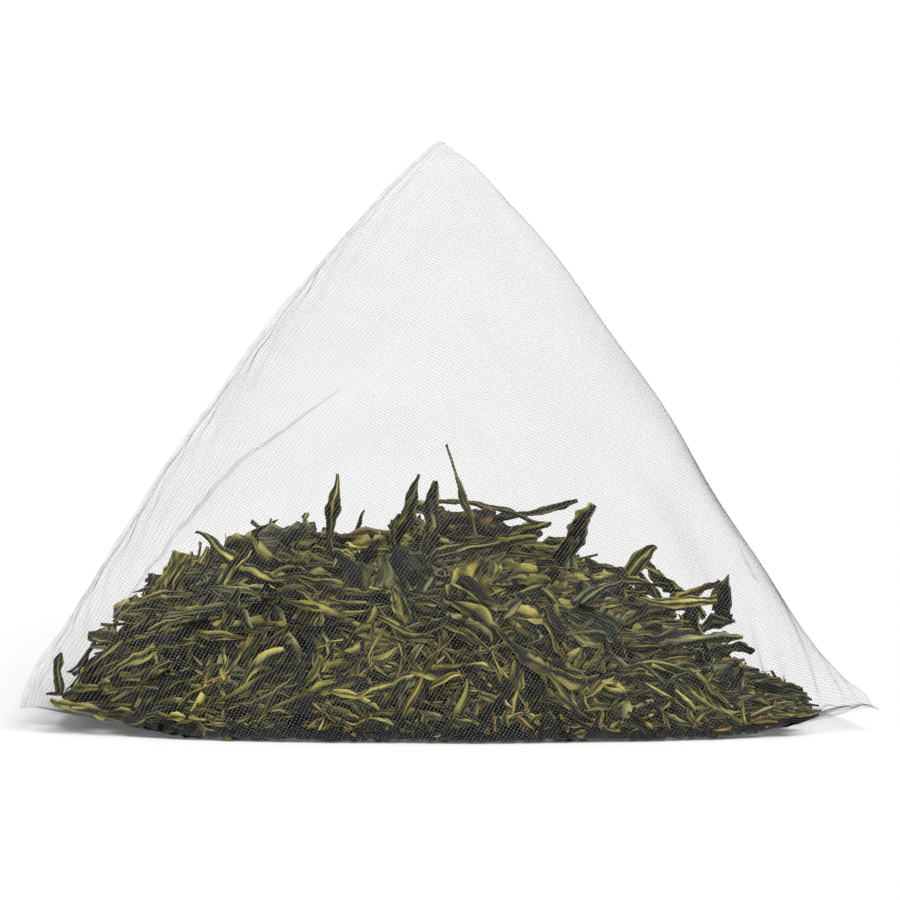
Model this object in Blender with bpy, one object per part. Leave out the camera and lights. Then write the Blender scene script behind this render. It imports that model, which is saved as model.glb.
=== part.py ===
"""Pyramid tea bag: one folded and welded sheet of fine woven mesh round a loose heap of rolled leaf tea.

All lengths are in metres, +Z is up, and the bag rests on its underside at z = 0. The sheet is a flat
rectangle that is rolled into a tube and welded shut across both ends, the second weld at right angles to
the first, which makes a four-cornered bag. In the bag's own drafting space the front fold runs along +X
from the left tip, and the back tip lies towards +Y.
"""

import math
import random

import bmesh
import bpy
from mathutils import Matrix, Vector, noise
from mathutils.bvhtree import BVHTree

# Corners of the filled bag as it stands
FRONT_FOLD = 0.0580
BACK_TIP_DEPTH = 0.0500
BACK_TIP_ASIDE = 0.0010
APEX_HEIGHT = 0.0386
APEX_DEPTH = 0.0200
APEX_ASIDE = -0.0004
LEFT_TIP_LIFT = 0.0017
RIGHT_TIP_LIFT = 0.0017
BACK_TIP_LIFT = 0.0008
LIFTED_SHARE = 0.2

# How far each edge bows out of the straight line between its corners
FRONT_FOLD_BOW = 0.0045
BACK_LEFT_FOLD_BOW = 0.0018
SIDE_WELD_BOW = 0.0021
SIDE_WELD_RISE = 0.0015
BASE_WELD_BOW = 0.0014
RIGHT_FOLD_BOW = 0.0013
RIGHT_FOLD_RISE = 0.0009
RIGHT_SHOULDER = 0.0012
BACK_FOLD_BOW = 0.0018
FRONT_BELLY = 0.0016
BACK_BELLY = 0.0017
BOW_ROUNDNESS = 0.7

# Sheet, threads and welds
SHEET_THICKNESS = 0.0004
THREAD_WIDTH = 0.0008
THREAD_HEIGHT = 0.00015
THREAD_ROWS = 10
CLOSED_ROWS_AT_WELD = 1
WELD_WIDTH = 0.0008
WELD_THICKNESS = 0.0005
WELD_ROOT = 0.0003
WELD_STATIONS = 14
WELD_OFF_TABLE = 0.00005

# Room kept between pieces that touch
CLEARANCE = 0.0003

# Heap of tea: its top slopes down to the right, the left and the back
HEAP_HEIGHT = 0.0100
HEAP_CENTRE_DEPTH = 0.0185
HEAP_RIGHT_SHOULDER = 0.0080
HEAP_RIGHT_SLOPE = 0.62
HEAP_LEFT_SHOULDER = 0.0120
HEAP_LEFT_SLOPE = 0.35
HEAP_BACK_SHOULDER = 0.0240
HEAP_BACK_SLOPE = 0.40
HEAP_FROM_WALL = 0.0032
HEAP_LUMPS = 0.0007
HEAP_LUMP_SPACING = 0.0045
HEAP_SPOKES = 40
HEAP_RINGS = 10
HEAP_LEAST_STEEPNESS = 0.25
HALVINGS = 24

# Sizes of the single pieces of tea: (shortest, longest), (narrowest, widest), (thinnest, thickest)
STRIP_SIZES = ((0.0085, 0.0140), (0.0015, 0.0023), (0.0008, 0.0011))
FLAKE_SIZES = ((0.0042, 0.0060), (0.0026, 0.0036), (0.0006, 0.0008))
STEM_SIZES = ((0.0085, 0.0125), (0.0008, 0.0010), (0.0007, 0.0009))
STRIP_TWIST = 1.1
FLAKE_TWIST = 0.5
STEM_TWIST = 0.2
LEAF_STATIONS = 6
LEAF_END_SHARE = 0.35
LEAF_ROUNDNESS = 0.6
LEAF_BEND_SHARE, LEAF_SWAY_SHARE = 0.08, 0.05
LEAF_SECTION = ((-1.0, 0.0), (-0.45, 0.85), (0.5, 1.0), (1.0, 0.1), (0.0, -0.9))

# How many pieces lie against each wall and on the top of the heap
FRONT_STRIP_COUNT, FRONT_FLAKE_COUNT, FRONT_STEM_COUNT = 17, 4, 1
LEFT_STRIP_COUNT, LEFT_FLAKE_COUNT = 5, 2
RIGHT_STRIP_COUNT, RIGHT_FLAKE_COUNT = 5, 2
TOP_STRIP_COUNT, TOP_FLAKE_COUNT, TOP_STEM_COUNT = 9, 2, 2

# Where those pieces may lie: shares of a wall's height and width, turns in radians, and a strip over the heap
WALL_HEIGHT_SHARES = (0.04, 0.27)
WALL_WIDTH_SHARES = (0.08, 0.92)
WALL_START_GAPS = (0.0006, 0.0012)
WALL_ROLL = 0.15
LEVEL_SHARE, LEVEL_SPREAD = 0.36, 0.5
TOP_PAST_LEFT_SHOULDER, TOP_PAST_RIGHT_SHOULDER = 0.0048, 0.0056
TOP_FRONT_REACH, TOP_BACK_REACH = 0.010, 0.012
TOP_DROP_HEIGHT = 0.0030
TOP_TILT = 0.25

# How a place is sought
MOST_TRIES = 3000
PROBE_SHARES = (-0.4, 0.0, 0.4)
MOST_STEPS_INWARD, SHARE_INWARD = 30, 0.03
MOST_STEPS_DEEPER, STEP_DEEPER = 12, 0.0008
MOST_BROKEN_OFF = 0.40
MOST_SETTLING_STEPS = 12
SETTLED_WITHIN = 0.00015
LONGEST_PRESS = 0.0040
SEED = 41

# Finishes: base colour, roughness
MESH_FINISH = ((0.84, 0.85, 0.84), 0.45)
HEAP_FINISH = ((0.055, 0.060, 0.022), 0.85)
STRIP_FINISHES = (
    ((0.085, 0.095, 0.030), 0.80),
    ((0.130, 0.135, 0.045), 0.80),
    ((0.060, 0.072, 0.026), 0.80),
    ((0.105, 0.085, 0.030), 0.80),
)
FLAKE_FINISH = ((0.290, 0.270, 0.080), 0.75)
STEM_FINISH = ((0.190, 0.160, 0.060), 0.70)

LEFT_TIP, APEX, RIGHT_TIP, BACK_TIP = range(4)
CORNERS = (
    Vector((-FRONT_FOLD / 2, 0.0, 0.0)),
    Vector((APEX_ASIDE, APEX_DEPTH, APEX_HEIGHT)),
    Vector((FRONT_FOLD / 2, 0.0, 0.0)),
    Vector((BACK_TIP_ASIDE, BACK_TIP_DEPTH, 0.0)),
)
LIFTS = {LEFT_TIP: LEFT_TIP_LIFT, RIGHT_TIP: RIGHT_TIP_LIFT, BACK_TIP: BACK_TIP_LIFT}
STRAIGHT = Vector((0.0, 0.0, 0.0))
UP = Vector((0.0, 0.0, 1.0))
# Each edge's bow, and how much more of it lies towards the first corner
BOWS = {
    (LEFT_TIP, APEX): (Vector((-SIDE_WELD_BOW, 0.0, SIDE_WELD_RISE)), STRAIGHT),
    (APEX, RIGHT_TIP): (
        Vector((RIGHT_FOLD_BOW, 0.0, RIGHT_FOLD_RISE)),
        Vector((RIGHT_SHOULDER, 0.0, RIGHT_SHOULDER * 2 / 3)),
    ),
    (LEFT_TIP, RIGHT_TIP): (Vector((0.0, -FRONT_FOLD_BOW, 0.0)), STRAIGHT),
    (LEFT_TIP, BACK_TIP): (Vector((-BACK_LEFT_FOLD_BOW, BACK_LEFT_FOLD_BOW / 2, 0.0)), STRAIGHT),
    (RIGHT_TIP, BACK_TIP): (Vector((BASE_WELD_BOW, BASE_WELD_BOW / 2, 0.0)), STRAIGHT),
    (APEX, BACK_TIP): (Vector((0.0, BACK_FOLD_BOW, BACK_FOLD_BOW / 2)), STRAIGHT),
}
BELLIES = {
    (LEFT_TIP, APEX, RIGHT_TIP): Vector((0.0, -FRONT_BELLY, 0.0)),
    (LEFT_TIP, APEX, BACK_TIP): Vector((-BACK_BELLY, BACK_BELLY / 2, 0.0)),
    (APEX, RIGHT_TIP, BACK_TIP): Vector((BACK_BELLY, BACK_BELLY / 2, 0.0)),
}
# Rows of the sheet are crossed by the four folds at these whole steps round the tube
TUBE_STEPS = 4 * THREAD_ROWS


def clear_scene():
    """Removes whatever the file holds."""
    for thing in list(bpy.data.objects):
        bpy.data.objects.remove(thing, do_unlink=True)


def new_material(name, finish):
    """A plain material with a base colour and a roughness."""
    colour, roughness = finish
    material = bpy.data.materials.new(name)
    material.use_nodes = True
    shader = material.node_tree.nodes["Principled BSDF"]
    shader.inputs["Base Color"].default_value = (*colour, 1.0)
    shader.inputs["Roughness"].default_value = roughness
    shader.inputs["Metallic"].default_value = 0.0
    material.diffuse_color = (*colour, 1.0)
    return material


def new_object(name, mesh_builder, material, frame):
    """Turns a bmesh into a named object that hangs from the bag's frame."""
    mesh = bpy.data.meshes.new(name)
    mesh_builder.to_mesh(mesh)
    mesh_builder.free()
    thing = bpy.data.objects.new(name, mesh)
    mesh.materials.append(material)
    bpy.context.scene.collection.objects.link(thing)
    thing.parent = frame
    return thing


def extruded_end(bar, end, is_inner):
    """Extrudes the end face of a bar and returns the new end, with its corners in the old one's order.

    is_inner says that the old end now lies inside the bar, so it is removed.
    """
    old_corners = list(end.verts)
    made = bmesh.ops.extrude_face_region(bar, geom=[end])["geom"]
    new_corners = [item for item in made if isinstance(item, bmesh.types.BMVert)]
    moved = {}
    for corner in new_corners:
        rail = [edge.other_vert(corner) for edge in corner.link_edges]
        moved[next(old for old in old_corners if old in rail)] = corner
    new_end = next(item for item in made if isinstance(item, bmesh.types.BMFace))
    if is_inner and end.is_valid:
        bmesh.ops.delete(bar, geom=[end], context="FACES_ONLY")
    bmesh.ops.delete(bar, geom=[new_end], context="FACES_ONLY")
    return bar.faces.new([moved[old] for old in old_corners])


def smooth_step(t):
    """Eases from 0 to 1."""
    t = min(max(t, 0.0), 1.0)
    return t * t * (3.0 - 2.0 * t)


def corner_weights(along, across):
    """How much each corner counts at a point of the sheet.

    along runs once round the tube, from 0 to 4, and across from the first weld, at 0, to the second, at 1.
    The tube's section at across is a four-sided loop, so each stretch of along is one side of it.
    """
    weights = [0.0] * 4
    if along < across:
        along += 4.0
    ends = (
        (2.0 - across, 2.0 - 2.0 * across, LEFT_TIP, APEX, RIGHT_TIP, 1.0 - across),
        (2.0 + across, 2.0 * across, RIGHT_TIP, BACK_TIP, APEX, across),
        (4.0 - across, 2.0 - 2.0 * across, APEX, LEFT_TIP, BACK_TIP, 1.0 - across),
        (4.0 + across, 2.0 * across, BACK_TIP, RIGHT_TIP, LEFT_TIP, across),
    )
    for end, width, first, second, far, share in ends:
        if along <= end + 1e-9:
            part = 0.0 if width < 1e-9 else 1.0 - (end - along) / width
            weights[first] = share * (1.0 - part)
            weights[second] = share * part
            weights[far] = 1.0 - share
            return weights
    return weights


def soft_point(weights):
    """The bag's outer surface at a point given by its corner weights."""
    point = Vector((0.0, 0.0, 0.0))
    for weight, corner in zip(weights, CORNERS):
        point += weight * corner
    for (first, second), (bow, shift) in BOWS.items():
        product = 4.0 * weights[first] * weights[second]
        if product > 0.0:
            point += product**BOW_ROUNDNESS * (bow + (weights[first] - weights[second]) * shift)
    for (first, second, third), belly in BELLIES.items():
        point += 27.0 * weights[first] * weights[second] * weights[third] * belly
    for corner, lift in LIFTS.items():
        point.z += lift * smooth_step((weights[corner] - 1.0 + LIFTED_SHARE) / LIFTED_SHARE)
    return point


def on_same_fold(first, second):
    """Whether two crossings of the flat sheet lie on one diagonal fold. Both are (step, row)."""
    for start, turn in ((0, 1), (2, -1), (2, 1), (4, -1)):
        steps = [step - start * THREAD_ROWS - turn * row for step, row in (first, second)]
        if steps == [0, 0]:
            return True
    return False


def folded_sheet():
    """The sheet's outer surface: a flat grid, split along its folds, rolled up and welded.

    Returns the bmesh and, for each whole cell of the three upper faces, its (face, step, row).
    """
    sheet = bmesh.new()
    bmesh.ops.create_grid(sheet, x_segments=TUBE_STEPS, y_segments=THREAD_ROWS, size=1.0)
    crossing = {}
    for vertex in sheet.verts:
        step = round((vertex.co.x + 1.0) / 2.0 * TUBE_STEPS)
        row = round((vertex.co.y + 1.0) / 2.0 * THREAD_ROWS)
        crossing[vertex] = (step, row)
    cells = []
    for face in list(sheet.faces):
        corners = list(face.verts)
        split = False
        for first, second in ((corners[0], corners[2]), (corners[1], corners[3])):
            if on_same_fold(crossing[first], crossing[second]):
                bmesh.utils.face_split(face, first, second)
                split = True
                break
        if not split:
            step = min(crossing[corner][0] for corner in corners)
            row = min(crossing[corner][1] for corner in corners)
            weights = corner_weights((step + 0.5) / THREAD_ROWS, (row + 0.5) / THREAD_ROWS)
            if weights[APEX] > 1e-6:
                cells.append((face, step, row))
    for vertex, (step, row) in crossing.items():
        vertex.co = soft_point(corner_weights(step / THREAD_ROWS, row / THREAD_ROWS))
    bmesh.ops.remove_doubles(sheet, verts=sheet.verts, dist=1e-6)
    bmesh.ops.recalc_face_normals(sheet, faces=sheet.faces)
    sheet.normal_update()
    return sheet, cells


def is_gap(step, row):
    """Whether a cell of the weave is open: every other one, apart from the rows beside a weld."""
    inner = CLOSED_ROWS_AT_WELD <= row < THREAD_ROWS - CLOSED_ROWS_AT_WELD
    return inner and (step + row) % 2 == 0


def weld_band(name, along_ends, across, frame, material):
    """The flat band that the welding bar leaves along one end of the tube, joined to the sheet later.

    Where it meets the table it lies flat on it.
    """
    middle = sum(CORNERS, Vector((0.0, 0.0, 0.0))) / 4.0
    first_along, last_along = along_ends
    points = []
    for station in range(WELD_STATIONS + 1):
        along = first_along + (last_along - first_along) * station / WELD_STATIONS
        points.append(soft_point(corner_weights(along, across)))
    sections = []
    for station, point in enumerate(points):
        ahead = points[min(station + 1, WELD_STATIONS)] - points[max(station - 1, 0)]
        ahead.normalize()
        outward = point - middle
        if point.z < WELD_WIDTH:
            outward.z = 0.0
        outward -= outward.dot(ahead) * ahead
        outward.normalize()
        side = ahead.cross(outward) * (WELD_THICKNESS / 2.0)
        root = point - outward * WELD_ROOT
        tip = point + outward * WELD_WIDTH
        section = (root - side, tip - side, tip + side, root + side)
        lift = max(0.0, WELD_OFF_TABLE - min(corner.z for corner in section))
        sections.append([corner + UP * lift for corner in section])
    band = bmesh.new()
    face = band.faces.new([band.verts.new(corner) for corner in sections[0]])
    for section in sections[1:]:
        face = extruded_end(band, face, len(band.faces) > 1)
        for vertex, corner in zip(face.verts, section):
            vertex.co = corner
    bmesh.ops.recalc_face_normals(band, faces=band.faces)
    guide = new_object(name, band, material, frame)
    guide.hide_render = True
    guide.display_type = "WIRE"
    return guide


def build_mesh_bag(frame):
    """The bag's sheet: raised threads, open cells between them, and a welded band along two edges."""
    sheet, cells = folded_sheet()
    outer = BVHTree.FromBMesh(sheet)
    faces = [face for face, step, row in cells]
    open_cells = [face for face, step, row in cells if is_gap(step, row)]
    bmesh.ops.inset_individual(
        sheet, faces=faces, thickness=THREAD_WIDTH / 2.0, depth=-THREAD_HEIGHT, use_even_offset=True
    )
    bmesh.ops.delete(sheet, geom=open_cells, context="FACES")
    material = new_material("woven_mesh", MESH_FINISH)
    bag = new_object("mesh_bag", sheet, material, frame)
    wall = bag.modifiers.new("wall", "SOLIDIFY")
    wall.thickness = SHEET_THICKNESS
    wall.offset = -1.0
    wall.use_even_offset = True
    for name, ends, across in (("side_weld", (0.0, 2.0), 0.0), ("base_weld", (1.0, 3.0), 1.0)):
        band = weld_band(name, ends, across, frame, material)
        joined = bag.modifiers.new(name, "BOOLEAN")
        joined.operation = "UNION"
        joined.object = band
        joined.solver = "EXACT"
    return outer


def heap_top(x, y):
    """Height of the heap's top over a point of the underside."""
    height = HEAP_HEIGHT
    height -= HEAP_RIGHT_SLOPE * max(0.0, x - HEAP_RIGHT_SHOULDER)
    height -= HEAP_LEFT_SLOPE * max(0.0, -x - HEAP_LEFT_SHOULDER)
    height -= HEAP_BACK_SLOPE * max(0.0, y - HEAP_BACK_SHOULDER)
    return height


def heap_reach(centre, direction, outer):
    """How far the heap reaches from its centre in one direction, stopped by its top or by the sheet."""
    reach = FRONT_FOLD
    hit, normal, _index, distance = outer.ray_cast(centre, direction)
    if hit is not None:
        steepness = max(abs(direction.dot(normal)), HEAP_LEAST_STEEPNESS)
        reach = distance - HEAP_FROM_WALL / steepness
    low, high = 0.0, reach
    for _halving in range(HALVINGS):
        middle = (low + high) / 2.0
        point = centre + direction * middle
        if point.z < heap_top(point.x, point.y):
            low = middle
        else:
            high = middle
    lump = noise.noise((centre + direction * low) / HEAP_LUMP_SPACING)
    return low - HEAP_LUMPS * (0.5 + 0.5 * lump)


def edge_below(vertex, ring):
    """The vertex of the ring below that an extruded vertex rose from."""
    return next(edge.other_vert(vertex) for edge in vertex.link_edges if edge.other_vert(vertex) in ring)


def is_inside(tree, point):
    """Whether a point lies inside a closed form that nothing overhangs."""
    hit, normal, _index, _distance = tree.ray_cast(point, UP)
    return hit is not None and normal.z > 0.0


def build_leaf_heap(frame, outer):
    """The packed middle of the tea, where the leaves lie too close to be told apart."""
    floor = SHEET_THICKNESS + THREAD_HEIGHT + CLEARANCE
    centre = Vector((0.0, HEAP_CENTRE_DEPTH, floor))
    heap = bmesh.new()
    bmesh.ops.create_circle(heap, cap_ends=True, segments=HEAP_SPOKES, radius=1.0)
    ring = {vertex: math.atan2(vertex.co.y, vertex.co.x) for vertex in heap.verts}
    edges = heap.edges[:]
    for number in range(HEAP_RINGS + 1):
        rise = math.pi / 2.0 * number / HEAP_RINGS
        if number:
            made = bmesh.ops.extrude_edge_only(heap, edges=edges)["geom"]
            raised = [item for item in made if isinstance(item, bmesh.types.BMVert)]
            edges = [item for item in made if isinstance(item, bmesh.types.BMEdge)]
            ring = {vertex: ring[edge_below(vertex, ring)] for vertex in raised}
        for vertex, turn in ring.items():
            level = Vector((math.cos(turn), math.sin(turn), 0.0)) * math.cos(rise)
            direction = level + Vector((0.0, 0.0, math.sin(rise)))
            vertex.co = centre + direction * heap_reach(centre, direction, outer)
    peak = sum((vertex.co for vertex in ring), Vector((0.0, 0.0, 0.0))) / HEAP_SPOKES
    bmesh.ops.pointmerge(heap, verts=list(ring), merge_co=peak)
    heap.normal_update()
    bmesh.ops.recalc_face_normals(heap, faces=heap.faces)
    heap.normal_update()
    tree = BVHTree.FromBMesh(heap)
    new_object("leaf_heap", heap, new_material("packed_tea", HEAP_FINISH), frame)
    return tree


def leaf_builder(length, width, thickness, twist, bend, sway):
    """One dried piece of leaf as a twisted, bent bar that thins towards its ends, along local X."""
    leaf = bmesh.new()
    face = leaf.faces.new([leaf.verts.new((0.0, side, up)) for side, up in LEAF_SECTION])
    for station in range(LEAF_STATIONS + 1):
        if station:
            face = extruded_end(leaf, face, station > 1)
        share = station / LEAF_STATIONS
        taper = LEAF_END_SHARE + (1.0 - LEAF_END_SHARE) * math.sin(math.pi * share) ** LEAF_ROUNDNESS
        turn = twist * (share - 0.5)
        middle = Vector(
            (
                length * (share - 0.5),
                sway * math.sin(2.0 * math.pi * share),
                bend * (1.0 - (2.0 * share - 1.0) ** 2),
            )
        )
        for vertex, (side, up) in zip(face.verts, LEAF_SECTION):
            across = side * width / 2.0 * taper
            above = up * thickness / 2.0 * taper
            vertex.co = middle + Vector(
                (
                    0.0,
                    across * math.cos(turn) - above * math.sin(turn),
                    across * math.sin(turn) + above * math.cos(turn),
                )
            )
    bmesh.ops.recalc_face_normals(leaf, faces=leaf.faces)
    leaf.normal_update()
    return leaf


def drawn_sizes(kind, chance, share):
    """Sizes for leaf_builder, drawn from one kind's range, with share of the drawn length."""
    sizes, most_twist = {
        "strip": (STRIP_SIZES, STRIP_TWIST),
        "flake": (FLAKE_SIZES, FLAKE_TWIST),
        "stem": (STEM_SIZES, STEM_TWIST),
    }[kind]
    length, width, thickness = [chance.uniform(*size) for size in sizes]
    length *= share
    twist = chance.uniform(-most_twist, most_twist)
    bend = chance.uniform(-LEAF_BEND_SHARE, LEAF_BEND_SHARE) * length
    sway = chance.uniform(-LEAF_SWAY_SHARE, LEAF_SWAY_SHARE) * length
    return length, width, thickness, twist, bend, sway


class Tea:
    """The pieces of tea placed so far, and the room that they leave."""

    def __init__(self, frame, outer, heap):
        self.frame = frame
        self.outer = outer
        self.heap = heap
        self.placed = []
        self.materials = {}

    def room(self, points, tree, centre, radius):
        """The least gap between a piece and the sheet or any other piece, or a negative number.

        It is negative as soon as one gap is found that is too narrow.
        """
        wall = SHEET_THICKNESS + THREAD_HEIGHT
        least = LONGEST_PRESS
        for point in points:
            for tree_near, skin in ((self.outer, wall), (self.heap, 0.0)):
                gap = tree_near.find_nearest(point)[3] - skin
                if gap < CLEARANCE:
                    return -1.0
                least = min(least, gap)
        if not is_inside(self.outer, centre) or is_inside(self.heap, centre) or self.heap.overlap(tree):
            return -1.0
        for other, other_centre, other_radius, other_points in self.placed:
            if (centre - other_centre).length > radius + other_radius + least:
                continue
            for there, here in ((other, points), (tree, other_points)):
                for point in here:
                    distance = there.find_nearest(point, least)[3]
                    if distance is not None and distance < CLEARANCE:
                        return -1.0
                    least = least if distance is None else min(least, distance)
            if other.overlap(tree):
                return -1.0
        return least

    def settle(self, name, leaf, place, press):
        """Moves a piece along press until it lies on something, and keeps it if it fits.

        Returns whether it was kept. It isn't when it has no room or meets nothing on its way.
        """
        local = [vertex.co.copy() for vertex in leaf.verts]
        leaf.verts.index_update()
        polygons = [[vertex.index for vertex in face.verts] for face in leaf.faces]
        local += [(edge.verts[0].co + edge.verts[1].co) / 2.0 for edge in leaf.edges]
        radius = max(point.length for point in local)
        moved = 0.0
        for _step in range(MOST_SETTLING_STEPS):
            at = Matrix.Translation(press * moved) @ place
            points = [at @ point for point in local]
            corners = points[: len(leaf.verts)]
            tree = BVHTree.FromPolygons(corners, polygons)
            room = self.room(points, tree, at.translation, radius)
            if room < 0.0:
                return False
            if room - CLEARANCE < SETTLED_WITHIN:
                self.placed.append((tree, at.translation.copy(), radius, points))
                self.keep(name, leaf, at)
                return True
            moved += room - CLEARANCE
            if moved > LONGEST_PRESS:
                return False
        return False

    def keep(self, name, leaf, at):
        """Makes the object of a piece that has found its place."""
        kind = name.split("_")[0]
        number = len(self.placed)
        finish = {"flake": FLAKE_FINISH, "stem": STEM_FINISH}.get(kind)
        slot = f"{kind}_leaf"
        if finish is None:
            shade = number % len(STRIP_FINISHES)
            finish = STRIP_FINISHES[shade]
            slot = f"strip_leaf_{shade + 1}"
        if slot not in self.materials:
            self.materials[slot] = new_material(slot, finish)
        thing = new_object(name, leaf, self.materials[slot], self.frame)
        thing.matrix_local = at

    def may_fit(self, place, length, thickness):
        """A quick look at a few points along a piece, before it is made."""
        wall = SHEET_THICKNESS + THREAD_HEIGHT
        for share in PROBE_SHARES:
            point = place @ Vector((share * length, 0.0, 0.0))
            if not is_inside(self.outer, point) or is_inside(self.heap, point):
                return False
            if self.outer.find_nearest(point)[3] < wall + thickness / 2.0:
                return False
            for other in [self.heap] + [entry[0] for entry in self.placed]:
                if other.find_nearest(point)[3] < thickness / 2.0:
                    return False
        return True

    def scatter(self, names, kind, draw_place):
        """Places one piece of a kind for each name, at the first place from draw_place where it fits.

        Each piece draws its own sizes and places, and the later ones of a group are more broken.
        """
        for number, name in enumerate(names):
            chance = random.Random(f"{name} {SEED}")
            sizes = drawn_sizes(kind, chance, 1.0 - MOST_BROKEN_OFF * number / len(names))
            for _attempt in range(MOST_TRIES):
                place, press = draw_place(chance)
                if not self.may_fit(place, sizes[0], sizes[2]):
                    continue
                leaf = leaf_builder(*sizes)
                if self.settle(name, leaf, place, press):
                    break
                leaf.free()


def lying_frame(point, normal, heading):
    """A frame at a point with its Z along normal, turned by heading about it."""
    side = UP.cross(normal)
    if side.length < 1e-6:
        side = Vector((1.0, 0.0, 0.0))
    side.normalize()
    up = normal.cross(side)
    ahead = side * math.cos(heading) + up * math.sin(heading)
    across = normal.cross(ahead)
    rotation = Matrix((ahead, across, normal)).transposed().to_4x4()
    return Matrix.Translation(point) @ rotation


def wall_places(corners, outer):
    """A function that draws places just inside one wall of the bag, beside the heap."""

    def draw(chance):
        low_corner, high_corner, other_corner = corners
        weights = [0.0] * 4
        height = chance.uniform(*WALL_HEIGHT_SHARES)
        split = chance.uniform(*WALL_WIDTH_SHARES)
        weights[high_corner] = height
        weights[low_corner] = (1.0 - height) * split
        weights[other_corner] = (1.0 - height) * (1.0 - split)
        surface = soft_point(weights)
        _found, normal, _index, _distance = outer.find_nearest(surface)
        inside = SHEET_THICKNESS + THREAD_HEIGHT + CLEARANCE + chance.uniform(*WALL_START_GAPS)
        is_level = chance.random() < LEVEL_SHARE
        heading = chance.gauss(0.0, LEVEL_SPREAD) if is_level else chance.uniform(-math.pi, math.pi)
        flipped = math.pi * (chance.random() > 0.5)
        roll = Matrix.Rotation(chance.uniform(-WALL_ROLL, WALL_ROLL) + flipped, 4, "X")
        return lying_frame(surface - normal * inside, normal, heading) @ roll, -normal

    return draw


def top_places(chance):
    """Draws a place over the top of the heap, from where a piece drops on it."""
    leftmost = -HEAP_LEFT_SHOULDER - TOP_PAST_LEFT_SHOULDER
    rightmost = HEAP_RIGHT_SHOULDER + TOP_PAST_RIGHT_SHOULDER
    x = chance.uniform(leftmost, rightmost)
    y = chance.uniform(HEAP_CENTRE_DEPTH - TOP_FRONT_REACH, HEAP_CENTRE_DEPTH + TOP_BACK_REACH)
    point = Vector((x, y, heap_top(x, y) + TOP_DROP_HEIGHT))
    heading = chance.uniform(-math.pi, math.pi)
    tilt = Matrix.Rotation(chance.uniform(-TOP_TILT, TOP_TILT), 4, "Y")
    return lying_frame(point, UP, heading) @ tilt, -UP


def standing_pieces():
    """The pieces that stick up out of the heap.

    Each is (name, length, width, thickness, twist, bend, middle's place over the heap's top, the direction
    of its length).
    """
    return (
        ("strip_long", 0.0072, 0.0017, 0.0009, 0.9, -0.0005, (-0.0150, 0.0140, 0.0024), (0.77, 0.05, 0.62)),
        ("stem_tall", 0.0078, 0.0009, 0.0008, 0.1, 0.0005, (0.0010, 0.0170, 0.0050), (-0.30, 0.10, 0.92)),
        ("strip_upright", 0.0056, 0.0016, 0.0009, 0.6, 0.0003, (-0.0083, 0.0150, 0.0034), (0.12, 0.05, 0.95)),
        ("strip_broad", 0.0062, 0.0022, 0.0010, 0.7, 0.0004, (-0.0030, 0.0120, 0.0040), (0.20, -0.1, 0.80)),
        ("strip_low", 0.0066, 0.0013, 0.0008, 0.5, 0.0003, (0.0040, 0.0155, 0.0022), (0.93, 0.10, 0.25)),
        ("strip_curved", 0.0068, 0.0016, 0.0009, 0.9, 0.0008, (0.0128, 0.0125, 0.0036), (0.55, 0.05, 0.80)),
        ("flake_corner", 0.0044, 0.0020, 0.0008, 0.3, 0.0002, (-0.0195, 0.0100, 0.0018), (0.35, 0.05, 0.90)),
    )


def place_standing_piece(tea, name, leaf, rotation, place):
    """Drops a standing piece on the heap, drawn in towards the bag's middle until it has room."""
    x, y, above = place
    for inward in range(MOST_STEPS_INWARD):
        for deeper in range(MOST_STEPS_DEEPER):
            point = Vector((x * (1.0 - SHARE_INWARD * inward), y + STEP_DEEPER * deeper, 0.0))
            point.z = heap_top(point.x, point.y) + above
            if tea.settle(name, leaf, Matrix.Translation(point) @ rotation, -UP):
                return


def place_standing_pieces(tea):
    """Makes and places each piece that stands up out of the heap."""
    for name, length, width, thickness, twist, bend, place, direction in standing_pieces():
        ahead = Vector(direction).normalized()
        side = Vector((0.0, -1.0, 0.0)).cross(ahead).normalized()
        rotation = Matrix((ahead, side, ahead.cross(side))).transposed().to_4x4()
        leaf = leaf_builder(length, width, thickness, twist, bend, 0.0)
        place_standing_piece(tea, name, leaf, rotation, place)


def numbered(kind, first, count):
    """Names such as strip_07, from first on."""
    return [f"{kind}_{number:02d}" for number in range(first, first + count)]


def build_tea(frame, outer):
    """The heap and the single pieces of tea on it and against the walls."""
    heap = build_leaf_heap(frame, outer)
    tea = Tea(frame, outer, heap)
    front = wall_places((LEFT_TIP, APEX, RIGHT_TIP), outer)
    left = wall_places((LEFT_TIP, APEX, BACK_TIP), outer)
    right = wall_places((RIGHT_TIP, APEX, BACK_TIP), outer)
    groups = (
        ("strip", FRONT_STRIP_COUNT, front),
        ("flake", FRONT_FLAKE_COUNT, front),
        ("stem", FRONT_STEM_COUNT, front),
        ("strip", LEFT_STRIP_COUNT, left),
        ("flake", LEFT_FLAKE_COUNT, left),
        ("strip", RIGHT_STRIP_COUNT, right),
        ("flake", RIGHT_FLAKE_COUNT, right),
        ("strip", TOP_STRIP_COUNT, top_places),
        ("flake", TOP_FLAKE_COUNT, top_places),
        ("stem", TOP_STEM_COUNT, top_places),
    )
    place_standing_pieces(tea)
    next_number = {"strip": 1, "flake": 1, "stem": 1}
    for kind, count, draw_place in groups:
        tea.scatter(numbered(kind, next_number[kind], count), kind, draw_place)
        next_number[kind] += count


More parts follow.
